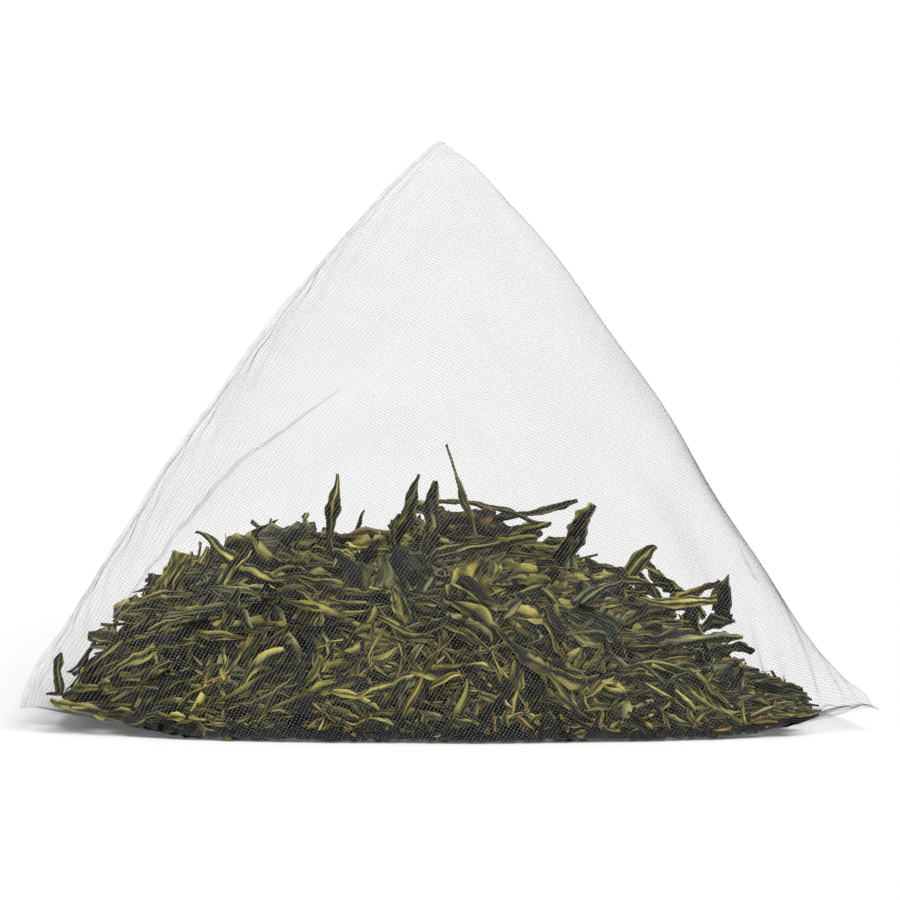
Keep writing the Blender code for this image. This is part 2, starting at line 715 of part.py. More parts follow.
def centre_on_underside(frame):
    """Moves the frame so that the origin is the middle of the bag's outline, at its underside."""
    bpy.context.view_layer.update()
    bag = bpy.data.objects["mesh_bag"]
    whole = bag.evaluated_get(bpy.context.evaluated_depsgraph_get())
    mesh = whole.to_mesh()
    points = [whole.matrix_world @ vertex.co for vertex in mesh.vertices]
    whole.to_mesh_clear()
    for axis in range(2):
        values = [point[axis] for point in points]
        frame.location[axis] = -(min(values) + max(values)) / 2.0
    frame.location.z = -min(point.z for point in points)


def main():
    """Builds the bag and the tea in it."""
    clear_scene()
    frame = bpy.data.objects.new("bag_frame", None)
    bpy.context.scene.collection.objects.link(frame)
    outer = build_mesh_bag(frame)
    build_tea(frame, outer)
    centre_on_underside(frame)


main()
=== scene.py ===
"""Pyramid tea bag of fine woven mesh with rolled green tea in it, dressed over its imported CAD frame.

Lengths are in metres unless a name says otherwise. The bag's sheet is a tube that is welded across both ends,
so every thread is placed by how far it runs round the tube and how far it lies from the first weld.
"""

import logging
import math
import random
from collections.abc import Callable
from dataclasses import dataclass, field, replace
from enum import Enum

import bmesh
import bpy
import numpy as np
from mathutils import Matrix, Vector, noise
from mathutils.bvhtree import BVHTree


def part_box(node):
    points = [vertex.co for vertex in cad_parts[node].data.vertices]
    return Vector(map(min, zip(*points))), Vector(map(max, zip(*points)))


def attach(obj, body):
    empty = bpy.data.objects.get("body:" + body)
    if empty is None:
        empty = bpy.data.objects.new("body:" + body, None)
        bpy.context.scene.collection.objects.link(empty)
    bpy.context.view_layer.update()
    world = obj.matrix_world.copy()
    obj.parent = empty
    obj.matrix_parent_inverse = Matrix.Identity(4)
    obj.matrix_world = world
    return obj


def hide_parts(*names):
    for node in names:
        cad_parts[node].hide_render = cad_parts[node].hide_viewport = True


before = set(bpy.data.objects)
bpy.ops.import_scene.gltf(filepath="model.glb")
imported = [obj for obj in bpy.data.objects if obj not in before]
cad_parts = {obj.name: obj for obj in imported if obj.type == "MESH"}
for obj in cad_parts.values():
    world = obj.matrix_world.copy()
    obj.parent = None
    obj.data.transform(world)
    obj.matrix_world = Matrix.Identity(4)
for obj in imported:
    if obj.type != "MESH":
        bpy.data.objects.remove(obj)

logging.basicConfig(level=logging.INFO, format="%(message)s")
log = logging.getLogger("tea_bag")

MM = 0.001
TURN = 2.0 * math.pi
TINY = 1e-9
UP = Vector((0.0, 0.0, 1.0))
SECTION_CORNERS = 5
SPINE_SHARES = (-1.0, -0.5, 0.0, 0.5, 1.0)
CUT_JOINTS = 7
SEED = 41
LEAF_OFF_TABLE = 0.0001
BATCH_TRIES = 40


class Corner(Enum):
    """The four corners of the filled bag."""

    LEFT_TIP = 0
    APEX = 1
    RIGHT_TIP = 2
    BACK_TIP = 3


class Tea(Enum):
    """The kinds of tea in the bag."""

    STRIP = "strip"
    FLAKE = "flake"
    STEM = "stem"
    CRUMB = "crumb"


class Tint(Enum):
    """The colours that the tea dries to."""

    OLIVE = "olive"
    GREY = "grey_green"
    DARK = "dark"
    BROWN = "brown"
    YELLOW = "yellow"
    STALK = "stalk"


def linear(code: str) -> tuple[float, float, float, float]:
    """Turns an sRGB hex colour into linear values.

    Args:
        code: Six hex digits after a hash sign.

    Returns:
        Red, green, blue and an alpha of one.
    """
    values = []
    for start in (1, 3, 5):
        value = int(code[start : start + 2], 16) / 255.0
        values.append(value / 12.92 if value <= 0.04045 else ((value + 0.055) / 1.055) ** 2.4)
    return (values[0], values[1], values[2], 1.0)


def set_node(
    tree: bpy.types.NodeTree, node: bpy.types.Node, settings: dict, links: dict | None = None
) -> None:
    """Sets a node's properties and inputs.

    Args:
        tree: The node tree.
        node: The node.
        settings: Values by property name, or by input name or number for an input's own value.
        links: Output sockets by input name or number.
    """
    for name, value in settings.items():
        if isinstance(name, str) and hasattr(node, name):
            setattr(node, name, value)
        else:
            node.inputs[name].default_value = value
    for name, socket in (links or {}).items():
        tree.links.new(socket, node.inputs[name])


def add_node(
    tree: bpy.types.NodeTree, kind: str, settings: dict | None = None, links: dict | None = None
) -> bpy.types.Node:
    """Adds a node to a tree.

    Args:
        tree: The node tree.
        kind: The node's type without its first words, such as Mix for ShaderNodeMix.
        settings: Its settings, as set_node takes them.
        links: Its links, as set_node takes them.

    Returns:
        The new node.
    """
    node = tree.nodes.new(f"ShaderNode{kind}")
    set_node(tree, node, settings or {}, links)
    return node


def set_ramp(node: bpy.types.Node, stops: tuple[float, ...], codes: tuple[str, ...]) -> None:
    """Sets the stops of a Color Ramp node.

    Args:
        node: The Color Ramp node.
        stops: Each stop's place from 0 to 1.
        codes: Each stop's hex colour.
    """
    elements = node.color_ramp.elements
    while len(elements) < len(stops):
        elements.new(1.0)
    for element, place, code in zip(elements, stops, codes):
        element.position = place
        element.color = linear(code)


def new_material(name: str) -> tuple[bpy.types.Material, bpy.types.NodeTree, bpy.types.Node]:
    """Makes a material with one Principled shader on its output.

    Args:
        name: The material's name.

    Returns:
        The material, its node tree and its Principled node.
    """
    material = bpy.data.materials.new(name)
    material.use_nodes = True
    tree = material.node_tree
    return material, tree, tree.nodes["Principled BSDF"]


def add_object(name: str, data: bpy.types.ID) -> bpy.types.Object:
    """Adds an object to the scene.

    Args:
        name: The object's name.
        data: Its mesh, camera or light.

    Returns:
        The new object.
    """
    made = bpy.data.objects.new(name, data)
    bpy.context.scene.collection.objects.link(made)
    return made


def add_piece(name: str, mesh: bpy.types.Mesh, material: bpy.types.Material) -> bpy.types.Object:
    """Makes a mesh a piece that rides on the bag's one body.

    Args:
        name: The piece's name.
        mesh: Its mesh, already in place.
        material: Its finish.

    Returns:
        The new object.
    """
    piece = add_object(name, mesh)
    mesh.materials.append(material)
    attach(piece, "root")
    log.info("%s: %d faces", name, len(mesh.polygons))
    return piece


def mesh_coordinates(mesh: bpy.types.Mesh) -> np.ndarray:
    """Reads where a mesh's vertices are.

    Args:
        mesh: The mesh.

    Returns:
        One row of three values for each vertex.
    """
    values = np.empty(len(mesh.vertices) * 3)
    mesh.vertices.foreach_get("co", values)
    return values.reshape(-1, 3)


def finished_mesh(name: str, form: bmesh.types.BMesh) -> bpy.types.Mesh:
    """Turns a form into a mesh with smooth faces.

    Args:
        name: The mesh's name.
        form: The form, which is freed.

    Returns:
        The mesh.
    """
    mesh = bpy.data.meshes.new(name)
    form.to_mesh(mesh)
    form.free()
    mesh.polygons.foreach_set("use_smooth", np.ones(len(mesh.polygons), dtype=bool))
    return mesh


def join_form(whole: bmesh.types.BMesh, part: bmesh.types.BMesh) -> None:
    """Adds one form to another.

    Args:
        whole: The form that grows.
        part: The form that is added, which is freed.
    """
    scrap = finished_mesh("scrap", part)
    whole.from_mesh(scrap)
    bpy.data.meshes.remove(scrap)


def add_bar(form: bmesh.types.BMesh, stations: int, sides: int, radius: float) -> None:
    """Adds a straight closed bar of unit length along X.

    Args:
        form: The form that gets it.
        stations: How many lengths it has.
        sides: How many sides it has.
        radius: Its radius.
    """
    ring = bmesh.ops.create_circle(form, segments=sides, radius=radius)["verts"]
    bmesh.ops.rotate(form, verts=ring, matrix=Matrix.Rotation(math.pi / 2.0, 3, "Y"))
    step = (1.0 / stations, 0.0, 0.0)
    bmesh.ops.spin(form, geom=form.edges[:], axis=(1.0, 0.0, 0.0), dvec=step, angle=0.0, steps=stations)
    bmesh.ops.holes_fill(form, edges=form.edges[:], sides=sides)
    bmesh.ops.recalc_face_normals(form, faces=form.faces[:])


@dataclass(frozen=True)
class NylonFinish:
    """Clear nylon monofilament, drawn and woven: nearly clear, with painted light and shade in soft clouds
    and a painted highlight where two threads cross.

    The opacity is for one wall of a thread, and a ray passes two.
    """

    name: str = "woven_nylon_monofilament"
    crossing_highlight: str = "#F4F5F4"
    lit: str = "#909392"
    shaded: str = "#4E5151"
    opacity: float = 0.115
    roughness: float = 0.38
    ior: float = 1.53
    cloud_mm: float = 6.0
    cloud_stops: tuple[float, float] = (0.36, 0.60)
    highlight_reach: tuple[float, float] = (0.10, 0.19)

    def build(self) -> bpy.types.Material:
        """Makes the finish as a material. It reads the number of crossings along a thread, from "steps".

        Returns:
            The material.
        """
        material, tree, shader = new_material(self.name)
        place = add_node(tree, "TexCoord").outputs["Object"]
        # Soft clouds a few millimetres wide of painted light and shade, standing in for the shading of the
        # sheet's soft folds
        scale = {"Scale": 1.0 / (self.cloud_mm * MM), "Detail": 2.0, "Roughness": 0.5}
        cloud = add_node(tree, "TexNoise", scale, {"Vector": place})
        ramp = add_node(tree, "ValToRGB", links={"Fac": cloud.outputs["Fac"]})
        set_ramp(ramp, self.cloud_stops, (self.shaded, self.lit))
        # Every 0.23 mm a thread crosses another, and the painted highlight there is a third of that step long
        steps = add_node(tree, "Attribute", {"attribute_name": "steps"})
        part = add_node(tree, "Math", {"operation": "FRACT"}, {0: steps.outputs["Fac"]})
        aside = add_node(tree, "Math", {"operation": "SUBTRACT", 1: 0.5}, {0: part.outputs[0]})
        away = add_node(tree, "Math", {"operation": "ABSOLUTE"}, {0: aside.outputs[0]})
        inner, outer = self.highlight_reach
        near = add_node(tree, "MapRange", {1: inner, 2: outer, 3: 1.0, 4: 0.0}, {0: away.outputs[0]})
        links = {0: near.outputs[0], 6: ramp.outputs["Color"]}
        colour = add_node(tree, "Mix", {"data_type": "RGBA", 7: linear(self.crossing_highlight)}, links)
        constants = {"Roughness": self.roughness, "IOR": self.ior, "Alpha": self.opacity}
        set_node(tree, shader, constants, {"Base Color": colour.outputs[2]})
        return material


@dataclass(frozen=True)
class WeldFinish:
    """Nylon melted by an ultrasonic welding bar: milky, denser than the weave and slightly glossy, with
    painted light and shade on its ribs.
    """

    name: str = "welded_nylon_and_crease_shade"
    lit: str = "#C9CBCB"
    shaded: str = "#8C8F8F"
    opacity: float = 0.21
    roughness: float = 0.32
    ior: float = 1.53
    rib_mm: float = 0.7
    rib_stops: tuple[float, float] = (0.36, 0.60)
    bump: float = 0.6
    bump_mm: float = 0.05

    def build(self) -> bpy.types.Material:
        """Makes the finish as a material.

        Returns:
            The material.
        """
        material, tree, shader = new_material(self.name)
        place = add_node(tree, "TexCoord").outputs["Object"]
        # The welding bar's teeth leave ribs that are less than a millimetre apart, coloured lighter on their
        # crests and darker in their hollows as painted light and shade
        scale = {"Scale": 1.0 / (self.rib_mm * MM), "Detail": 3.0, "Roughness": 0.6}
        ribs = add_node(tree, "TexNoise", scale, {"Vector": place}).outputs["Fac"]
        ramp = add_node(tree, "ValToRGB", links={"Fac": ribs})
        set_ramp(ramp, self.rib_stops, (self.shaded, self.lit))
        depth = {"Strength": self.bump, "Distance": self.bump_mm * MM}
        bump = add_node(tree, "Bump", depth, {"Height": ribs})
        constants = {"Roughness": self.roughness, "IOR": self.ior, "Alpha": self.opacity}
        links = {"Base Color": ramp.outputs["Color"], "Normal": bump.outputs["Normal"]}
        set_node(tree, shader, constants, links)
        return material


@dataclass(frozen=True)
class LeafFinish:
    """Pan-fired green tea leaf: matt and ridged lengthwise, with painted shade near black in its creases,
    painted light on its crests, and edges that are yellower, partly in their own colour and partly as a
    painted highlight.

    The tone shares are those of the blotches, the wrinkles and the ridges.
    """

    name: str
    crease: str
    body: str
    crest: str
    edge: str
    roughness: float = 0.6
    shine: float = 0.15
    blotch_mm: float = 2.2
    wrinkle_mm: float = 0.17
    wrinkle_length_mm: float = 1.6
    bump_mm: float = 0.10
    tone_shares: tuple[float, float, float] = (0.25, 0.60, 0.30)
    tone_stops: tuple[float, float, float] = (0.50, 0.60, 0.74)

    def build(self) -> bpy.types.Material:
        """Makes the finish as a material. It reads the leaf's lay, in millimetres, its ridge shading, and its
        rims and highlights.

        Returns:
            The material.
        """
        material, tree, shader = new_material(self.name)
        place = add_node(tree, "TexCoord").outputs["Object"]
        names = ("lay", "ridge_shading", "rim_and_highlight")
        lay, ridge_shading, rim_and_highlight = (add_node(tree, "Attribute", {"attribute_name": name}) for name in names)
        # Firing leaves blotches a few millimetres wide
        scale = {"Scale": 1.0 / (self.blotch_mm * MM), "Detail": 3.0, "Roughness": 0.6}
        blotches = add_node(tree, "TexNoise", scale, {"Vector": place})
        # Drying leaves wrinkles that run along the leaf, a few to the millimetre over its width
        scale = {"Scale": (1.0 / self.wrinkle_length_mm, 1.0 / self.wrinkle_mm, 1.0)}
        stretched = add_node(tree, "Mapping", scale, {"Vector": lay.outputs["Vector"]})
        scale = {"Scale": 1.0, "Detail": 3.0, "Roughness": 0.65, "Distortion": 0.4}
        wrinkles = add_node(tree, "TexNoise", scale, {"Vector": stretched.outputs["Vector"]})
        # The blotches are the leaf's own colour; through the wrinkles and the ridges the tone paints shade in
        # the grooves and light on the crests
        by_blotch, by_wrinkle, by_ridge = self.tone_shares
        tone = add_node(tree, "Math", {"operation": "MULTIPLY", 1: by_blotch}, {0: blotches.outputs["Fac"]})
        for pattern, share in ((wrinkles, by_wrinkle), (ridge_shading, by_ridge)):
            links = {0: pattern.outputs["Fac"], 2: tone.outputs[0]}
            tone = add_node(tree, "Math", {"operation": "MULTIPLY_ADD", 1: share}, links)
        ramp = add_node(tree, "ValToRGB", links={"Fac": tone.outputs[0]})
        set_ramp(ramp, self.tone_stops, (self.crease, self.body, self.crest))
        # The rim value mixes in the edge colour: yellowed edges on open leaves, partly a painted highlight,
        # and painted highlights on the crests of rolled ones
        links = {0: rim_and_highlight.outputs["Fac"], 6: ramp.outputs["Color"]}
        edged = add_node(tree, "Mix", {"data_type": "RGBA", 7: linear(self.edge)}, links)
        depth = {"Strength": 1.0, "Distance": self.bump_mm * MM}
        bump = add_node(tree, "Bump", depth, {"Height": wrinkles.outputs["Fac"]})
        constants = {"Roughness": self.roughness, "Specular IOR Level": self.shine}
        links = {"Base Color": edged.outputs[2], "Normal": bump.outputs["Normal"]}
        set_node(tree, shader, constants, links)
        return material


@dataclass(frozen=True)
class CrumbFinish:
    """The shaded middle of the heap: broken tea in near black grains, painted shade that stands in for the
    shadow between the packed pieces.
    """

    name: str = "tea_crumb_painted_shade"
    gap: str = "#030302"
    grain: str = "#0A0A06"
    light: str = "#1B1A0F"
    tone_stops: tuple[float, float, float] = (0.38, 0.55, 0.72)
    grain_mm: float = 0.9
    speck_mm: float = 0.5
    bump_mm: float = 0.3
    roughness: float = 0.85
    shine: float = 0.03

    def build(self) -> bpy.types.Material:
        """Makes the finish as a material.

        Returns:
            The material.
        """
        material, tree, shader = new_material(self.name)
        place = add_node(tree, "TexCoord").outputs["Object"]
        # Broken leaf lies as grains under a millimetre across, and their specks are finer still
        cells = add_node(tree, "TexVoronoi", {"Scale": 1.0 / (self.grain_mm * MM)}, {"Vector": place})
        scale = {"Scale": 1.0 / (self.speck_mm * MM), "Detail": 4.0}
        specks = add_node(tree, "TexNoise", scale, {"Vector": place})
        ramp = add_node(tree, "ValToRGB", links={"Fac": specks.outputs["Fac"]})
        set_ramp(ramp, self.tone_stops, (self.gap, self.grain, self.light))
        depth = {"Strength": 1.0, "Distance": self.bump_mm * MM}
        bump = add_node(tree, "Bump", depth, {"Height": cells.outputs["Distance"]})
        constants = {"Roughness": self.roughness, "Specular IOR Level": self.shine}
        links = {"Base Color": ramp.outputs["Color"], "Normal": bump.outputs["Normal"]}
        set_node(tree, shader, constants, links)
        return material


@dataclass(frozen=True)
class Crease:
    """A crease of the bag's front face.

    Its path is given by how much the apex and the right tip count at each point. Its sizes are in
    millimetres. A sharp crease also gets a line of its own, which paints the crease's shade.
    """

    path: tuple[tuple[float, float], ...]
    height: float
    half_width: float
    sharp: bool = False
    end_slope: float = 6.0
    end_level: float = 0.1

    def tube_path(self) -> np.ndarray:
        """Gives the path's corners, each by its place round the tube and its place from weld to weld."""
        return np.array([(right + 2.0 * apex, right) for apex, right in self.path])

    def relief(self, round_mm: np.ndarray, over_mm: np.ndarray, girth: float, distance: float) -> np.ndarray:
        """Works out the crease's height over the sheet.

        Args:
            round_mm: Places round the tube, in millimetres.
            over_mm: Places from the first weld, in millimetres.
            girth: The tube's girth, in millimetres.
            distance: The distance between the welds, in millimetres.

        Returns:
            The height at each point, in metres.
        """
        corners = self.tube_path() * (girth / 4.0, distance)
        nearest = np.full(round_mm.shape, np.inf)
        fade = np.zeros(round_mm.shape)
        reached = 0.0
        total = sum(math.dist(*pair) for pair in zip(corners, corners[1:]))
        for (x0, y0), (x1, y1) in zip(corners, corners[1:]):
            length = math.dist((x0, y0), (x1, y1))
            part = ((round_mm - x0) * (x1 - x0) + (over_mm - y0) * (y1 - y0)) / length**2
            part = np.clip(part, 0.0, 1.0)
            away = np.hypot(round_mm - x0 - part * (x1 - x0), over_mm - y0 - part * (y1 - y0))
            closer = away < nearest
            nearest = np.where(closer, away, nearest)
            fade = np.where(closer, (reached + part * length) / total, fade)
            reached += length
        ends = np.minimum(1.0, self.end_slope * np.minimum(fade, 1.0 - fade) + self.end_level)
        return self.height * MM * ends * np.exp(-((nearest / self.half_width) ** 2))


@dataclass
class FoldedSheet:
    """The bag's sheet as it stands, in the row frame. Sizes repeat the CAD part's driving dimensions.

    Places round the tube run from 0 to 4, and places from the first weld to the second from 0 to 1.
    """

    front_fold: float = 0.0580
    back_tip_depth: float = 0.0500
    back_tip_aside: float = 0.0010
    apex_height: float = 0.0386
    apex_depth: float = 0.0200
    apex_aside: float = -0.0004
    tip_lifts: tuple[float, ...] = (0.0017, 0.0, 0.0017, 0.0008)
    lifted_share: float = 0.2
    front_fold_bow: float = 0.0045
    back_left_fold_bow: float = 0.0018
    side_weld_bow: float = 0.0021
    side_weld_rise: float = 0.0015
    base_weld_bow: float = 0.0014
    right_fold_bow: float = 0.0013
    right_fold_rise: float = 0.0009
    right_shoulder: float = 0.0012
    back_fold_bow: float = 0.0018
    front_belly: float = 0.0016
    back_belly: float = 0.0017
    bow_roundness: float = 0.7
    fold_rounding: float = 0.0010
    rounding_onset: float = 0.07
    off_table: float = 0.00007
    tube_girth: float = 0.1160
    weld_distance: float = 0.0502
    # On the front: the long crease beside the weld and its crest, the dent with its two puckers, the taut
    # streak, the short crease at the right and the folds of the lifted left tip
    creases: tuple[Crease, ...] = (
        Crease(
            ((0.16, 0.040), (0.31, 0.050), (0.42, 0.066), (0.48, 0.092), (0.54, 0.122)), -0.42, 0.55, True
        ),
        Crease(((0.20, 0.066), (0.34, 0.078), (0.45, 0.104), (0.56, 0.140)), 0.24, 0.60),
        Crease(((0.80, 0.004), (0.75, 0.066), (0.72, 0.100)), -0.45, 0.80),
        Crease(((0.70, 0.004), (0.665, 0.050), (0.64, 0.085)), -0.30, 0.55),
        Crease(((0.67, 0.275), (0.56, 0.325), (0.46, 0.374)), 0.22, 0.45),
        Crease(((0.67, 0.262), (0.56, 0.312), (0.46, 0.361)), -0.18, 0.60),
        Crease(((0.30, 0.690), (0.24, 0.742)), -0.30, 0.40, True),
        Crease(((0.62, 0.075), (0.56, 0.118), (0.50, 0.165)), 0.22, 0.50),
        Crease(((0.03, 0.020), (0.06, 0.080), (0.05, 0.150)), -0.30, 0.45),
        Crease(((0.10, 0.010), (0.12, 0.060), (0.10, 0.130)), -0.22, 0.40),
    )
    steps_round: int = 580
    steps_over: int = 250
    swells: int = 14
    swell_mm: float = 0.045
    swell_slant: float = 0.45
    # Puckers beside the welds: how far in they reach and set on, and their wavelengths with their heights
    pucker_reach_mm: float = 3.2
    pucker_onset_mm: float = 0.5
    puckers: tuple[tuple[float, float], ...] = ((4.1, 0.22), (2.7, 0.14), (1.9, 0.07))
    shift: np.ndarray = field(init=False)
    places: np.ndarray = field(init=False)
    normals: np.ndarray = field(init=False)

    def __post_init__(self) -> None:
        """Works out the sheet's place and outward direction on a fine grid over the tube."""
        self.shift = self.frame_shift()
        round_steps = np.linspace(0.0, 4.0, self.steps_round + 1)
        over_steps = np.linspace(0.0, 1.0, self.steps_over + 1)
        along, across = np.meshgrid(round_steps, over_steps, indexing="ij")
        self.places = self.rounded(along, across) + self.shift
        self.normals = self.outward()
        relief = self.relief(along, across)
        self.places = self.places + self.normals * relief[..., None]
        self.places[..., 2] = np.maximum(self.places[..., 2], self.off_table)
        self.normals = self.outward()

    def frame_shift(self) -> np.ndarray:
        """Finds how the drafting space lies in the row frame, from the front fold's foremost point.

        Returns:
            The place of the drafting space's origin.
        """
        points = mesh_coordinates(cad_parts["mesh_bag"].data)
        foremost = points[points[:, 1].argmin()]
        return np.array((foremost[0], foremost[1] + self.front_fold_bow, 0.0))

    def corners(self) -> np.ndarray:
        """Gives the four corners in drafting space.

        Returns:
            One row for each corner, in Corner's order.
        """
        left_tip = (-self.front_fold / 2, 0.0, 0.0)
        apex = (self.apex_aside, self.apex_depth, self.apex_height)
        right_tip = (self.front_fold / 2, 0.0, 0.0)
        back_tip = (self.back_tip_aside, self.back_tip_depth, 0.0)
        return np.array((left_tip, apex, right_tip, back_tip))

    def bows(self) -> dict[tuple[Corner, Corner], tuple[tuple[float, ...], tuple[float, ...]]]:
        """Gives how far the edges bow.

        Returns:
            Each edge's bow, and how much more of it lies towards the edge's first corner.
        """
        left, apex, right, back = Corner
        none = (0.0, 0.0, 0.0)
        shoulder = (self.right_shoulder, 0.0, self.right_shoulder * 2 / 3)
        back_left, base, behind = self.back_left_fold_bow, self.base_weld_bow, self.back_fold_bow
        return {
            (left, apex): ((-self.side_weld_bow, 0.0, self.side_weld_rise), none),
            (apex, right): ((self.right_fold_bow, 0.0, self.right_fold_rise), shoulder),
            (left, right): ((0.0, -self.front_fold_bow, 0.0), none),
            (left, back): ((-back_left, back_left / 2, 0.0), none),
            (right, back): ((base, base / 2, 0.0), none),
            (apex, back): ((0.0, behind, behind / 2), none),
        }

    def bellies(self) -> dict[tuple[Corner, ...], tuple[float, ...]]:
        """Gives how far the upper faces bulge.

        Returns:
            The bulge at each face's middle, by the face's corners.
        """
        left, apex, right, back = Corner
        return {
            (left, apex, right): (0.0, -self.front_belly, 0.0),
            (left, apex, back): (-self.back_belly, self.back_belly / 2, 0.0),
            (apex, right, back): (self.back_belly, self.back_belly / 2, 0.0),
        }

    def weights(self, along: np.ndarray, across: np.ndarray) -> np.ndarray:
        """Works out how much each corner counts at points of the sheet.

        Args:
            along: Places round the tube.
            across: Places from the first weld to the second.

        Returns:
            Four weights for each point, in the last axis.
        """
        along = (along - across) % 4.0 + across
        weights = np.zeros((*along.shape, 4))
        left, apex, right, back = (corner.value for corner in Corner)
        sides = (
            (2.0 - across, 2.0 - 2.0 * across, left, apex, right, 1.0 - across),
            (2.0 + across, 2.0 * across, right, back, apex, across),
            (4.0 - across, 2.0 - 2.0 * across, apex, left, back, 1.0 - across),
            (4.0 + across, 2.0 * across, back, right, left, across),
        )
        done = np.zeros(along.shape, dtype=bool)
        for end, width, first, second, far, share in sides:
            here = (along <= end + TINY) & ~done
            part = np.where(width < TINY, 0.0, 1.0 - (end - along) / np.maximum(width, TINY))
            weights[..., first] += np.where(here, share * (1.0 - part), 0.0)
            weights[..., second] += np.where(here, share * part, 0.0)
            weights[..., far] += np.where(here, 1.0 - share, 0.0)
            done |= here
        return weights

    def surface(self, along: np.ndarray, across: np.ndarray) -> np.ndarray:
        """Places points of the sheet in drafting space, with sharp folds.

        Args:
            along: Places round the tube.
            across: Places from the first weld to the second.

        Returns:
            The points.
        """
        weights = self.weights(along, across)
        points = weights @ self.corners()
        for (first, second), (bow, skew) in self.bows().items():
            one, two = weights[..., first.value], weights[..., second.value]
            swell = np.maximum(4.0 * one * two, 0.0) ** self.bow_roundness
            points += swell[..., None] * (np.array(bow) + (one - two)[..., None] * np.array(skew))
        for group, belly in self.bellies().items():
            product = 27.0 * np.prod([weights[..., corner.value] for corner in group], axis=0)
            points += product[..., None] * np.array(belly)
        for corner, lift in enumerate(self.tip_lifts):
            near = np.clip((weights[..., corner] - 1.0 + self.lifted_share) / self.lifted_share, 0.0, 1.0)
            points[..., 2] += lift * near * near * (3.0 - 2.0 * near)
        return points

    def rounded(self, along: np.ndarray, across: np.ndarray) -> np.ndarray:
        """Places points of the sheet in drafting space, with its folds rounded by averaging over them.

        Args:
            along: Places round the tube.
            across: Places from the first weld to the second.

        Returns:
            The points. A welded edge stays sharp.
        """
        inside = np.clip(np.minimum(across, 1.0 - across) / self.rounding_onset, 0.0, 1.0)
        reach = 4.0 * self.fold_rounding / self.tube_girth * inside
        offsets = (-1.0, -0.5, 0.0, 0.5, 1.0)
        return sum(self.surface(along + reach * offset, across) for offset in offsets) / len(offsets)

    def outward(self) -> np.ndarray:
        """Works out the sheet's outward directions from its places.

        Returns:
            One direction for each point of the grid.
        """
        padded = np.concatenate((self.places[-2:-1], self.places, self.places[1:2]), axis=0)
        round_way = padded[2:] - padded[:-2]
        over_way = np.gradient(self.places, axis=1)
        normals = np.cross(round_way, over_way)
        normals /= np.maximum(np.linalg.norm(normals, axis=-1, keepdims=True), 1e-12)
        middle = self.places.mean(axis=(0, 1))
        facing = np.sum(normals * (self.places - middle), axis=-1).mean()
        return normals if facing > 0.0 else -normals

    def relief(self, along: np.ndarray, across: np.ndarray) -> np.ndarray:
        """Works out how far the sheet stands out of its smooth form: swells, creases, and puckers at welds.

        Args:
            along: Places round the tube.
            across: Places from the first weld to the second.

        Returns:
            The height at each point, outward positive.
        """
        chance = np.random.default_rng(SEED)
        round_mm = along * self.tube_girth / 4.0 / MM
        over_mm = across * self.weld_distance / MM
        height = np.zeros(along.shape)
        for _swell in range(self.swells):
            turns = chance.integers(2, 11)
            slant = chance.uniform(-self.swell_slant, self.swell_slant)
            phase = chance.uniform(0.0, TURN)
            height += self.swell_mm * MM * np.sin(TURN * turns * along / 4.0 + slant * over_mm + phase)
        for edge, sign in ((0.0, 1.0), (1.0, -1.0)):
            from_weld = sign * (over_mm - edge * self.weld_distance / MM)
            near = np.exp(-from_weld / self.pucker_reach_mm)
            near = near * (1.0 - np.exp(-from_weld / self.pucker_onset_mm))
            for wavelength, size in self.puckers:
                phase = chance.uniform(0.0, TURN)
                height += size * MM * near * np.sin(TURN * round_mm / wavelength + phase)
        for crease in self.creases:
            height += crease.relief(round_mm, over_mm, self.tube_girth / MM, self.weld_distance / MM)
        return height

    def at(self, along: np.ndarray, across: np.ndarray, above: np.ndarray) -> np.ndarray:
        """Places points on or above the sheet.

        Args:
            along: Places round the tube.
            across: Places from the first weld to the second.
            above: Heights over the sheet.

        Returns:
            The points in the row frame.
        """
        row = (along % 4.0) / 4.0 * self.steps_round
        column = np.clip(across, 0.0, 1.0) * self.steps_over
        low_row = np.minimum(row.astype(int), self.steps_round - 1)
        low_column = np.minimum(column.astype(int), self.steps_over - 1)
        row_part = (row - low_row)[:, None]
        column_part = (column - low_column)[:, None]
        blended = []
        for grid in (self.places, self.normals):
            lower, upper = (
                grid[line, low_column] * (1.0 - column_part) + grid[line, low_column + 1] * column_part
                for line in (low_row, low_row + 1)
            )
            blended.append(lower * (1.0 - row_part) + upper * row_part)
        return blended[0] + blended[1] * above[:, None]


